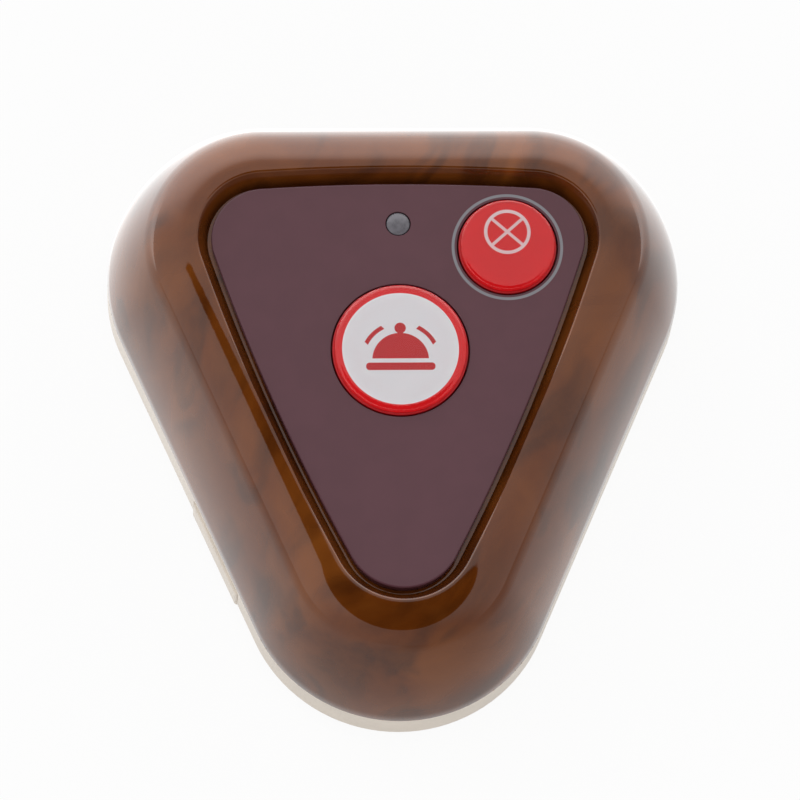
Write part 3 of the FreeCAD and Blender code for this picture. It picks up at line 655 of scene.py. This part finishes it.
@dataclass(frozen=True)
class PrintedDisc(Finish):
    """Printed label under a button's clear lens."""

    centre: Point = (0.0, 0.0)
    ink: Colour = (0.94, 0.97, 1.0)
    disc: float = 0.0
    mark: Mark = Mark.BELL
    mark_colour: Colour = (0.64, 0.02, 0.025)

    def bell(self, stencil: Stencil) -> Socket:
        """Return the mask of a counter bell with a sound line over each shoulder."""
        middle = (0, -1.5)
        trimmed = stencil.bar((0, 1.05), (4.2, 2.35), 0.1)
        arc = stencil.hoop(middle, 4.6, 5.15)
        lines = [
            stencil.common(arc, stencil.bar((way * 3.5, 2.0), (1.5, 1.5), 0.2, way * 45))
            for way in (-1, 1)
        ]
        return stencil.joined(
            stencil.common(stencil.spot(middle, 3.6), trimmed),
            stencil.bar((0, -2.35), (4.4, 0.5), 0.45),
            stencil.spot((0, 2.75), 0.72),
            stencil.bar((0, 2.1), (0.35, 0.6), 0.1),
            *lines,
        )

    def crossed_circle(self, stencil: Stencil) -> Socket:
        """Return the mask of a circle with a diagonal cross in it."""
        at = (0, 1.85)
        strokes = [stencil.bar(at, (2.8, 0.2), 0.02, turn) for turn in (42, -42)]
        return stencil.joined(stencil.hoop(at, 2.54, 2.98), *strokes)

    def pattern(self, nodes: Nodes, base: Socket) -> Socket:
        """Add the pale disc, if any, and the sign."""
        stencil = Stencil(nodes, self.centre)
        if self.disc:
            base = nodes.mix(stencil.spot((0, 0), self.disc), base, self.ink)
        draw = self.bell if self.mark is Mark.BELL else self.crossed_circle
        return nodes.mix(draw(stencil), base, self.mark_colour)


@dataclass(frozen=True)
class ClearResin(Surface):
    """Poured clear lens with faint ripples."""

    name: str = "clear_resin"

    def inputs(self, nodes: Nodes) -> Inputs:
        """Return what feeds the shader."""
        ripple = nodes.noise(nodes.place(), scale=240)
        return {
            "Base Color": (1, 1, 1),
            "Roughness": nodes.ramp(ripple, 0.2, 0.8, 0.0, 0.03),
            "Transmission Weight": 1.0,
            "IOR": 1.49,
            "Normal": nodes.bump(ripple, rise=0.03, strength=0.3),
        }


@dataclass(frozen=True)
class LampEpoxy(Surface):
    """Milky epoxy of a lamp that is off."""

    name: str = "milky_epoxy"
    colour: Colour = (0.122, 0.116, 0.130)
    haze: float = 1.35  # how much lighter its clouds are

    def inputs(self, nodes: Nodes) -> Inputs:
        """Return what feeds the shader."""
        cloud = nodes.noise(nodes.place(), scale=1400, detail=3)
        pale = shade(self.colour, self.haze)
        return {
            "Base Color": nodes.mix(nodes.ramp(cloud, 0.35, 0.65), self.colour, pale),
            "Roughness": nodes.ramp(cloud, 0.2, 0.8, 0.25, 0.35),
            "Specular IOR Level": 0.4,
        }


class Palette:
    """Every finish of the object, made once."""

    def __init__(self, call: Point, cancel: Point) -> None:
        """Build the materials for buttons at these places."""
        label = PrintedDisc("call_print", (0.84, 0.014, 0.018), 0.35, specular=0.0, blotch=0.02)
        finishes = [
            LacqueredBurl(),
            ClearResin(),
            LampEpoxy(),
            AcrylicPlate(
                "plum_acrylic", (0.108, 0.042, 0.054), 0.02,
                depth=0.0, blotch=0.03, specular=0.3, ring_centre=cancel,
            ),
            replace(label, centre=call, disc=7.42),
            replace(
                label, name="cancel_print", centre=cancel,
                mark=Mark.CROSSED_CIRCLE, mark_colour=(0.95, 0.82, 0.84),
            ),
            Finish("red_plastic", (0.50, 0.010, 0.014), 0.28, specular=0.3),
            Finish("pale_plastic", (0.78, 0.69, 0.59), 0.32, specular=0.3, blotch=0.025),
            Finish("black_moulding", (0.018, 0.018, 0.02), 0.5),
            Finish("tinned_metal", (0.62, 0.61, 0.58), 0.35, 1.0),
            Finish("nickel_strip", (0.66, 0.63, 0.57), 0.25, 1.0),
            Finish("zinc_screw", (0.56, 0.56, 0.55), 0.32, 1.0),
            Finish("metal_can", (0.60, 0.57, 0.48), 0.22, 1.0),
            Finish("board_laminate", (0.02, 0.12, 0.045), 0.3, coat=0.5, blotch=0.2),
            Finish("battery_sleeve", (0.03, 0.05, 0.09), 0.22, coat=0.6),
            Finish("soft_rubber", (0.035, 0.035, 0.037), 0.75, depth=2.0),
        ]
        self.made = {finish.name: finish.make() for finish in finishes}

    def __getitem__(self, name: str) -> Material:
        """Return a finish by name."""
        return self.made[name]


# ---- pieces ----


def add_object(name: str, data: bpy.types.ID) -> bpy.types.Object:
    """Put a new object into the scene and return it."""
    made = bpy.data.objects.new(name, data)
    bpy.context.scene.collection.objects.link(made)
    return made


@dataclass
class Maker:
    """Turns finished meshes into pieces of the scene."""

    palette: Palette
    made: int = 0

    def piece(
        self, name: str, bm: Mesh, finish: str, slot: str, body: Body,
        nodes: Sequence[str], sharp: float = CRISP,
    ) -> None:
        """Make a piece out of a mesh.

        Args:
            name: the piece's name.
            bm: its mesh, which is used up.
            finish: name of its material.
            slot: name of a material slot; not used.
            body: what it rides on.
            nodes: CAD nodes that it stands for.
            sharp: angle in degrees above which an edge stays crisp.
        """
        crease = math.radians(sharp)
        for edge in bm.edges:
            edge.smooth = len(edge.link_faces) == 2 and edge.calc_face_angle(math.pi) < crease
        for face in bm.faces:
            face.smooth = abs(face.normal.z) < LEVEL
        mesh = bpy.data.meshes.new(name)
        bm.to_mesh(mesh)
        bm.free()
        piece = add_object(name, mesh)
        mesh.materials.append(self.palette[finish])
        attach(piece, body.value)
        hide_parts(*nodes)
        self.made += 1
        LOG.info("%s: %d faces in %s on %s", name, len(mesh.polygons), finish, body.value)

    def smoothed(self, node: str, finish: str, slot: str, body: Body) -> None:
        """Make a piece from a merged copy of a CAD node, with its round faces shaded smooth."""
        bm = bmesh.new()
        bm.from_mesh(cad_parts[node].data)
        bmesh.ops.remove_doubles(bm, verts=bm.verts, dist=MERGE)
        self.piece(node + "_smooth", bm, finish, slot, body, [node])

    def dress(self, finish: str, *nodes: str) -> None:
        """Give CAD nodes a material."""
        for node in nodes:
            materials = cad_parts[node].data.materials
            materials.clear()
            materials.append(self.palette[finish])
            LOG.info("%s: dressed in %s", node, finish)


CASE = RoundedTriangle(CASE_RADIUS, CASE_RADIUS)
PLATE = RoundedTriangle(rear_radius=6.8, nose_radius=7.4, bend=1 / 270)
WELL_FLOOR = PLATE.grown(PLATE_GAP)
WELL_EDGE = WELL_FLOOR.grown(WELL_RUN)


@dataclass
class Window:
    """Round opening in the top."""

    x: float
    y: float
    diameter: float

    def trace(self, bm: Mesh, height: float, wider: float = 0.0) -> Edges:
        """Draw the opening's edge at a height, wider on the radius, and return it."""
        place = Matrix.Translation(Vector((self.x, self.y, height)) * MM)
        radius = (self.diameter / 2 + wider) * MM
        made = bmesh.ops.create_circle(
            bm, cap_ends=False, radius=radius, segments=TURN_STEPS, matrix=place
        )
        return loop_through(made["verts"][0])


@dataclass
class CaseShell:
    """Rounded shell with the well for the faceplate sunk into its top."""

    windows: list[Window]
    wall: float = 2.0
    wall_radius: float = 55.0
    lean: float = 25.0
    crest_radius: float = 6.3
    wall_steps: int = 10
    crest_steps: int = 18
    seam_round: float = 0.03
    well_round: float = 0.34
    well_steps: int = 5
    well_wall: float = 1.5
    well_top: Point = (1.35, 2.6)  # well's wall in the hollow: beyond its edge, below the crest
    rebate: float = 1.2
    rebate_height: float = 1.7
    sharp: float = 38.0

    @property
    def wall_centre(self) -> Point:
        """Centre of the bowed wall's arc: from the corner centres, and height."""
        rise = (self.wall_radius - self.crest_radius) * math.sin(math.radians(self.lean))
        height = CREST - self.crest_radius - rise
        return CASE_RADIUS - math.sqrt(self.wall_radius**2 - (SEAM - height) ** 2), height

    @property
    def crest_centre(self) -> Point:
        """Centre of the crest's rounding, which the wall runs into without a kink."""
        run = (self.wall_radius - self.crest_radius) * math.cos(math.radians(self.lean))
        return self.wall_centre[0] + run, CREST - self.crest_radius

    def on_wall(self, height: float) -> Station:
        """Return the outline of the bowed wall at a height, and that height."""
        out, low = self.wall_centre
        reach = out + math.sqrt(self.wall_radius**2 - (height - low) ** 2)
        return CASE.grown(reach - CASE_RADIUS), height

    def on_crest(self, inset: float, degrees: float) -> Station:
        """Return outline and height of a point of the crest's rounding."""
        out, height = self.crest_centre
        radius = self.crest_radius - inset
        angle = math.radians(degrees)
        reach = out + radius * math.cos(angle)
        return CASE.grown(reach - CASE_RADIUS), height + radius * math.sin(angle)

    def outside(self) -> list[Station]:
        """Return the stations from the seam up over the crest and down into the well."""
        edge, middle = self.seam_round, self.seam_round * 0.3
        stations = [(CASE.grown(-edge), SEAM), (CASE.grown(-middle), SEAM + middle)]
        low, high = SEAM + edge, self.on_crest(0, self.lean)[1]
        for step in range(self.wall_steps):
            stations.append(self.on_wall(low + (high - low) * step / self.wall_steps))
        for step in range(self.crest_steps + 1):
            angle = self.lean + (90 - self.lean) * step / self.crest_steps
            stations.append(self.on_crest(0, angle))
        fall = math.atan2(CREST - PLATE_BOTTOM, WELL_RUN)
        reach = self.well_round * math.tan(fall / 2)
        for step in range(self.well_steps + 1):
            angle = fall * step / self.well_steps
            out = reach - self.well_round * math.sin(angle)
            height = CREST - self.well_round * (1 - math.cos(angle))
            stations.append((WELL_EDGE.grown(out), height))
        stations.append((WELL_FLOOR, PLATE_BOTTOM))
        return stations

    def inside(self) -> list[Station]:
        """Return the stations from the underside of the deck out to the seam."""
        top, top_z = self.on_crest(self.wall, self.lean)
        foot = CASE.grown(-self.wall)
        slope = (foot.rear_radius - top.rear_radius) / (top_z - SEAM)
        step_z = SEAM + self.rebate_height
        beyond, below = self.well_top
        return [
            (WELL_FLOOR.grown(self.well_wall), DECK_BOTTOM),
            (WELL_EDGE.grown(beyond), CREST - below),
            self.on_crest(self.wall, (90 + self.lean) / 2),
            (top, top_z),
            (foot.grown(-self.rebate_height * slope), step_z),
            (CASE.grown(-self.rebate), step_z),
            (CASE.grown(-self.rebate), SEAM),
            (CASE.grown(-self.seam_round), SEAM),
        ]

    def build(self, maker: Maker) -> None:
        """Build the shell in place of its CAD node."""
        bm = bmesh.new()
        outer = [outline.trace(bm, z) for outline, z in self.outside()]
        inner = [outline.trace(bm, z) for outline, z in self.inside()]
        skin(bm, outer)
        skin(bm, inner)
        deck = [window.trace(bm, PLATE_BOTTOM) for window in self.windows]
        below = [window.trace(bm, DECK_BOTTOM) for window in self.windows]
        for top, bottom in zip(deck, below):
            skin(bm, [top, bottom])
        fill(bm, outer[-1] + [edge for loop in deck for edge in loop], True)
        fill(bm, inner[0] + [edge for loop in below for edge in loop], False)
        bmesh.ops.remove_doubles(bm, verts=bm.verts, dist=MERGE)
        bmesh.ops.recalc_face_normals(bm, faces=bm.faces)
        finish, slot = "lacquered_burl", "wood_grain_shell"
        maker.piece("shell_skin", bm, finish, slot, Body.CASE, ["top_shell"], self.sharp)


@dataclass
class Faceplate:
    """Flat acrylic plate in the well, with three round windows."""

    windows: list[Window]
    edge: float = 0.2
    edge_steps: int = 4
    window_edge: float = 0.05
    sharp: float = 30.0

    def build(self, maker: Maker) -> None:
        """Build the plate in place of its CAD node."""
        bm = bmesh.new()
        stations = [(PLATE, PLATE_BOTTOM)]
        for step in range(self.edge_steps + 1):
            angle = math.pi / 2 * step / self.edge_steps
            out = -self.edge * (1 - math.cos(angle))
            stations.append((PLATE.grown(out), PLATE_TOP - self.edge * (1 - math.sin(angle))))
        loops = [outline.trace(bm, z) for outline, z in stations]
        skin(bm, loops)
        tops, bottoms = [], []
        for window in self.windows:
            top = window.trace(bm, PLATE_TOP, self.window_edge)
            lip = window.trace(bm, PLATE_TOP - self.window_edge)
            bottom = window.trace(bm, PLATE_BOTTOM)
            skin(bm, [top, lip, bottom])
            tops += top
            bottoms += bottom
        fill(bm, loops[-1] + tops, True)
        fill(bm, loops[0] + bottoms, False)
        bmesh.ops.recalc_face_normals(bm, faces=bm.faces)
        finish, slot = "plum_acrylic", "plum_faceplate"
        maker.piece("plum_plate", bm, finish, slot, Body.CASE, ["faceplate"], self.sharp)


@dataclass
class PressButton:
    """Cap with a printed label under a clear poured lens."""

    name: str
    body: Body
    x: float
    y: float
    diameter: float
    print_finish: str
    clearance: float = 0.2
    wall: float = 1.1
    roof: float = 1.2
    edge: float = 0.12
    edge_steps: int = 4
    flange: float = 1.3
    flange_top: float = 21.3
    flange_thickness: float = 0.9
    top: float = 24.75
    label: float = 0.15
    label_play: float = 0.02
    inset: float = 0.25
    lens: float = 0.9
    lens_slope: float = 0.6
    lens_fall: float = 0.35
    lens_steps: int = 14
    stem: float = 3.4
    stem_foot: float = 21.55
    tab: Point = (2.0, 1.4)

    def cap(self) -> Mesh:
        """Return the cup with its flange, stem and key tab."""
        radius, shoulder = self.diameter / 2, self.top - self.edge
        rim, ceiling = radius + self.flange, self.top - self.roof
        low = self.flange_top - self.flange_thickness
        section = Profile(0, self.stem_foot)
        section.line((self.stem / 2, self.stem_foot), (self.stem / 2, ceiling))
        section.line((radius - self.wall, ceiling), (radius - self.wall, low), (rim, low))
        section.line((rim, self.flange_top), (radius, self.flange_top), (radius, shoulder))
        section.oval((radius - self.edge, shoulder), (self.edge, self.edge), self.edge_steps)
        bm = section.line((0, self.top)).turned(self.x, self.y)
        width, length = self.tab
        reach = rim + length
        middle = Vector((self.x, self.y - (reach + radius) / 2, (low + self.flange_top) / 2)) * MM
        size = Vector((width, reach - radius, self.flange_thickness)) * MM
        bmesh.ops.create_cube(bm, size=1, matrix=Matrix.LocRotScale(middle, None, size))
        return bm

    def label_disc(self) -> Mesh:
        """Return the thin printed disc."""
        radius = self.diameter / 2 - self.inset - self.label_play
        top = self.top + self.label
        section = Profile(0, self.top).line((radius, self.top), (radius, top), (0, top))
        return section.turned(self.x, self.y)

    def lens_drop(self) -> Mesh:
        """Return the lens: level in the middle, falling in a soft curve to its rim."""
        radius = self.diameter / 2 - self.inset
        foot = self.top + self.label / 2
        shoulder = self.top + self.label + self.lens - self.lens_fall
        section = Profile(0, foot).line((radius, foot), (radius, shoulder))
        centre = (radius - self.lens_slope, shoulder)
        section.oval(centre, (self.lens_slope, self.lens_fall), self.lens_steps)
        return section.line((0, shoulder + self.lens_fall)).turned(self.x, self.y)

    def build(self, maker: Maker) -> None:
        """Build cap, label and lens in place of their CAD nodes."""
        rows = (
            ("cup", self.cap(), "red_plastic", "red_plastic", "cap"),
            ("print", self.label_disc(), self.print_finish, "printed_label", "label"),
            ("lens", self.lens_drop(), "clear_resin", "clear_resin", "dome"),
        )
        for part, bm, finish, slot, node in rows:
            replaced = [f"{self.name}_{node}"]
            maker.piece(f"{self.name}_{part}", bm, finish, slot, self.body, replaced)


@dataclass
class IndicatorLamp:
    """Round-topped lamp that stands on the board and shows in its own window."""

    x: float = 0.0
    y: float = 21.45
    diameter: float = 3.0
    clearance: float = 0.1
    length: float = 5.3
    flange: float = 3.8
    flange_height: float = 1.0
    tip: float = 24.85
    dome: float = 0.45
    dome_steps: int = 20
    steps: int = 64

    def build(self, maker: Maker) -> None:
        """Build the lamp in place of its CAD node and dress its leads."""
        radius, rim = self.diameter / 2, self.flange / 2
        seat, shoulder = self.tip - self.length, self.tip - self.dome
        top = seat + self.flange_height
        section = Profile(0, seat).line((rim, seat), (rim, top), (radius, top), (radius, shoulder))
        section.oval((0, shoulder), (radius, self.dome), self.dome_steps)
        bm = section.turned(self.x, self.y, self.steps)
        maker.piece("lamp_dome", bm, "milky_epoxy", "lamp_epoxy", Body.CASE, ["led"])
        maker.dress("tinned_metal", "led_leads")


class BaseTray:
    """Shallow tray under the shell with its drawer, feet, screws and battery."""

    def build(self, maker: Maker) -> None:
        """Give the tray's nodes smooth round faces and their finishes."""
        for node, body in (("base_case", Body.CASE), ("battery_door", Body.DOOR)):
            maker.smoothed(node, "pale_plastic", "pale_base_plastic", body)
        own = {"rubber_feet": "soft_rubber", "case_screws": "zinc_screw", "battery": "battery_sleeve"}
        for node, finish in own.items():
            maker.smoothed(node, finish, finish, Body.CASE)
        maker.dress("nickel_strip", "battery_contact_plus", "battery_contact_minus", "battery_spring")


class Electronics:
    """Circuit board with the switches and parts that stand on it."""

    def build(self, maker: Maker) -> None:
        """Dress the board's nodes, with smooth round faces on the turned ones."""
        maker.dress("board_laminate", "circuit_board")
        maker.dress("black_moulding", "encoder_chip", "call_switch_body", "cancel_switch_body", "smd_parts")
        maker.dress("tinned_metal", "chip_pins", "switch_terminals", "antenna_loop")
        for node, finish, body in (
            ("call_switch_plunger", "black_moulding", Body.CALL_PLUNGER),
            ("cancel_switch_plunger", "black_moulding", Body.CANCEL_PLUNGER),
            ("rf_resonator", "metal_can", Body.CASE),
            ("board_screws", "zinc_screw", Body.CASE),
        ):
            maker.smoothed(node, finish, finish, body)


# ---- studio ----


@dataclass(frozen=True)
class View:
    """Where the camera stands and what it frames."""

    tilt: float = 17.51  # degrees from straight down, towards the nose
    sideways: float = 2.44
    roll: float = -1.02
    distance: float = 1020.0
    offset: Point = (-0.907, 2.855)
    focus: tuple[float, float, float] = (0.0, 8.345, 0.8)
    scale: float = 0.1300  # millimetres per pixel at the focus, in a picture of this width
    width: float = 800
    sensor: float = 36.0
    clip: float = 50.0

    def axes(self) -> tuple[Vector, Vector, Vector]:
        """Return the camera's right, up and backward directions before its roll."""
        tilt, side = math.radians(self.tilt), math.radians(self.sideways)
        back = Vector((
            -math.sin(side), -math.sin(tilt) * math.cos(side), math.cos(tilt) * math.cos(side)
        )).normalized()
        up = (Vector((0, 1, 0)) - back * back.y).normalized()
        return up.cross(back), up, back

    def add_camera(self) -> None:
        """Create the camera and make it the scene's own."""
        right, up, back = self.axes()
        place = Vector(self.focus) + back * self.distance
        place -= right * self.offset[0] + up * self.offset[1]
        roll = math.radians(self.roll)
        turned_right = right * math.cos(roll) + up * math.sin(roll)
        turned_up = up * math.cos(roll) - right * math.sin(roll)
        data = bpy.data.cameras.new("camera")
        data.sensor_width = self.sensor
        data.lens = self.distance / self.scale * self.sensor / self.width
        data.clip_start = self.clip * MM
        camera = add_object("camera", data)
        axes = Matrix((turned_right, turned_up, back)).transposed().to_4x4()
        camera.matrix_world = Matrix.Translation(place * MM) @ axes
        bpy.context.scene.camera = camera


def emptied(owner: Material | bpy.types.World) -> Nodes:
    """Clear the shader of a material or a world and return its nodes."""
    owner.use_nodes = True
    owner.node_tree.nodes.clear()
    return Nodes(owner.node_tree)


@dataclass
class Studio:
    """White table, white tent and the camera that looks in through the tent's opening."""

    view: View = View()
    daylight: float = 0.78
    white: Colour = (1.0, 1.0, 1.0)
    dark: Colour = (0.012, 0.01, 0.01)
    opening: float = 32.4  # degrees from the camera's axis to the opening's edge
    opening_edge: float = 0.5
    rear_wall: float = 2.0
    front_wall: float = 0.42
    left_wall: float = 0.25
    right_wall: float = 0.12
    tent_fade: Point = (0.32, 0.78)  # level part of a direction where a wall starts and is full
    tent_top: Point = (0.94, 0.82)  # upright part of it where the rear wall ends
    paint: Colour = (0.9, 0.9, 0.9)
    floor_glow: float = 0.92
    floor_radius: float = 1600.0
    floor_steps: int = 96
    floor_depth: float = 0.02  # below the feet, so that no two faces share a level
    floor_rear: Point = (10.0, 90.0)
    floor_front: Point = (0.0, 60.0)
    lamp_size: float = 600.0
    lamp_power: float = 1.1
    lamp_place: tuple[float, float, float] = (-350.0, 350.0, 800.0)

    def seen(self, nodes: Nodes) -> Socket:
        """Return 1 for rays that show the surroundings: seen, mirrored or refracted."""
        path = nodes.add("LightPath").outputs
        shown = nodes.math("MAXIMUM", path["Is Camera Ray"], path["Is Glossy Ray"])
        return nodes.math("MAXIMUM", shown, path["Is Transmission Ray"])

    def mirrored(self, nodes: Nodes) -> Socket:
        """Return 1 for rays mirrored by gloss, and 0 for those that went through glass."""
        path = nodes.add("LightPath").outputs
        return nodes.math("SUBTRACT", path["Is Glossy Ray"], path["Is Transmission Ray"], clamp=True)

    def walls(self, nodes: Nodes, vector: Socket, behind: Socket, near: float, far: float) -> Socket:
        """Grade what gloss reflects: bright behind the object, dimmer in front.

        Args:
            nodes: nodes of the floor or the tent.
            vector: place on the floor, or direction in the tent.
            behind: share of the rear wall's extra brightness.
            near: distance in front at which the dimming starts.
            far: distance at which it and the fall from left to right are complete.

        Returns:
            The level as a grey colour.
        """
        parts = nodes.parts(vector)
        level = nodes.math("ADD", 1.0, nodes.math("MULTIPLY", behind, self.rear_wall))
        front = nodes.ramp(parts["Y"], -near, -far, 0.0, self.front_wall)
        across = nodes.ramp(parts["X"], -far, far, self.left_wall, -self.right_wall)
        level = nodes.math("ADD", nodes.math("SUBTRACT", level, front), across)
        return nodes.add("CombineXYZ", {0: level, 1: level, 2: level}).outputs[0]

    def add_floor(self) -> None:
        """Lay the white table top, which keeps the object's shadow."""
        bm = bmesh.new()
        sunk = Matrix.Translation((0, 0, -self.floor_depth * MM))
        bmesh.ops.create_circle(
            bm, cap_ends=True, radius=self.floor_radius * MM, segments=self.floor_steps, matrix=sunk
        )
        mesh = bpy.data.meshes.new("table_top")
        bm.to_mesh(mesh)
        bm.free()
        floor = add_object("table_top", mesh)
        material = bpy.data.materials.new("white_table")
        nodes = emptied(material)
        place = nodes.add("TexCoord").outputs["Object"]
        rear = nodes.ramp(nodes.parts(place)["Y"], *(reach * MM for reach in self.floor_rear))
        graded = self.walls(nodes, place, rear, *(reach * MM for reach in self.floor_front))
        level = nodes.mix(self.mirrored(nodes), self.white, graded)
        paint = nodes.add("BsdfDiffuse", {"Color": self.paint}).outputs[0]
        glow = nodes.add("Emission", {"Color": level, "Strength": 1.0}).outputs[0]
        share = nodes.math("MULTIPLY", self.seen(nodes), self.floor_glow)
        both = nodes.add("MixShader", {0: share, 1: paint, 2: glow}).outputs[0]
        nodes.add("OutputMaterial", {"Surface": both})
        mesh.materials.append(material)

    def add_tent(self) -> None:
        """Surround the scene with white light, dark where the camera looks in."""
        world = bpy.data.worlds.new("tent")
        nodes = emptied(world)
        way = nodes.vector("NORMALIZE", nodes.add("TexCoord").outputs["Generated"])
        facing = nodes.vector("DOT_PRODUCT", way, tuple(self.view.axes()[2]))
        rim = (self.opening + self.opening_edge, self.opening - self.opening_edge)
        hole = nodes.ramp(facing, *(math.cos(math.radians(angle)) for angle in rim))
        parts = nodes.parts(way)
        behind = nodes.ramp(parts["Y"], *self.tent_fade)
        rear = nodes.math("MULTIPLY", behind, nodes.ramp(parts["Z"], *self.tent_top))
        graded = self.walls(nodes, way, rear, *self.tent_fade)
        mirrored = self.mirrored(nodes)
        level = nodes.mix(mirrored, self.white, graded)
        shown = nodes.mix(nodes.math("MULTIPLY", hole, mirrored), level, self.dark)
        lit = nodes.mix(self.seen(nodes), (self.daylight,) * 3, shown)
        background = nodes.add("Background", {"Color": lit, "Strength": 1.0}).outputs[0]
        nodes.add("OutputWorld", {"Surface": background})
        bpy.context.scene.world = world

    def add_lamp(self) -> None:
        """Hang one large soft lamp over the rear left."""
        data = bpy.data.lights.new("soft_panel", "AREA")
        data.shape = "DISK"
        data.size = self.lamp_size * MM
        data.energy = self.lamp_power
        lamp = add_object("soft_panel", data)
        place = Vector(self.lamp_place) * MM
        turn = place.to_track_quat("Z", "Y").to_matrix().to_4x4()
        lamp.matrix_world = Matrix.Translation(place) @ turn
        lamp.visible_glossy = False

    def build(self) -> None:
        """Set up floor, light and camera."""
        self.add_floor()
        self.add_tent()
        self.add_lamp()
        self.view.add_camera()
        bpy.context.scene.view_settings.view_transform = "Standard"


def main() -> None:
    """Build the object and the studio, and log how many pieces were made."""
    logging.basicConfig(level=logging.INFO, format="%(name)s: %(message)s")
    call = PressButton("call_button", Body.CALL, x=0.0, y=4.5, diameter=17.3, print_finish="call_print")
    cancel = PressButton(
        "cancel_button", Body.CANCEL, x=13.9, y=18.25, diameter=12.5, print_finish="cancel_print",
        lens_slope=0.4, lens_fall=0.25,
    )
    lamp = IndicatorLamp()
    windows = [
        Window(part.x, part.y, part.diameter + 2 * part.clearance) for part in (call, cancel, lamp)
    ]
    maker = Maker(Palette((call.x, call.y), (cancel.x, cancel.y)))
    top = (CaseShell(windows), Faceplate(windows), call, cancel, lamp)
    for assembly in (*top, BaseTray(), Electronics()):
        assembly.build(maker)
    Studio().build()
    LOG.info("%d new pieces", maker.made)


if __name__ == "__main__":
    main()
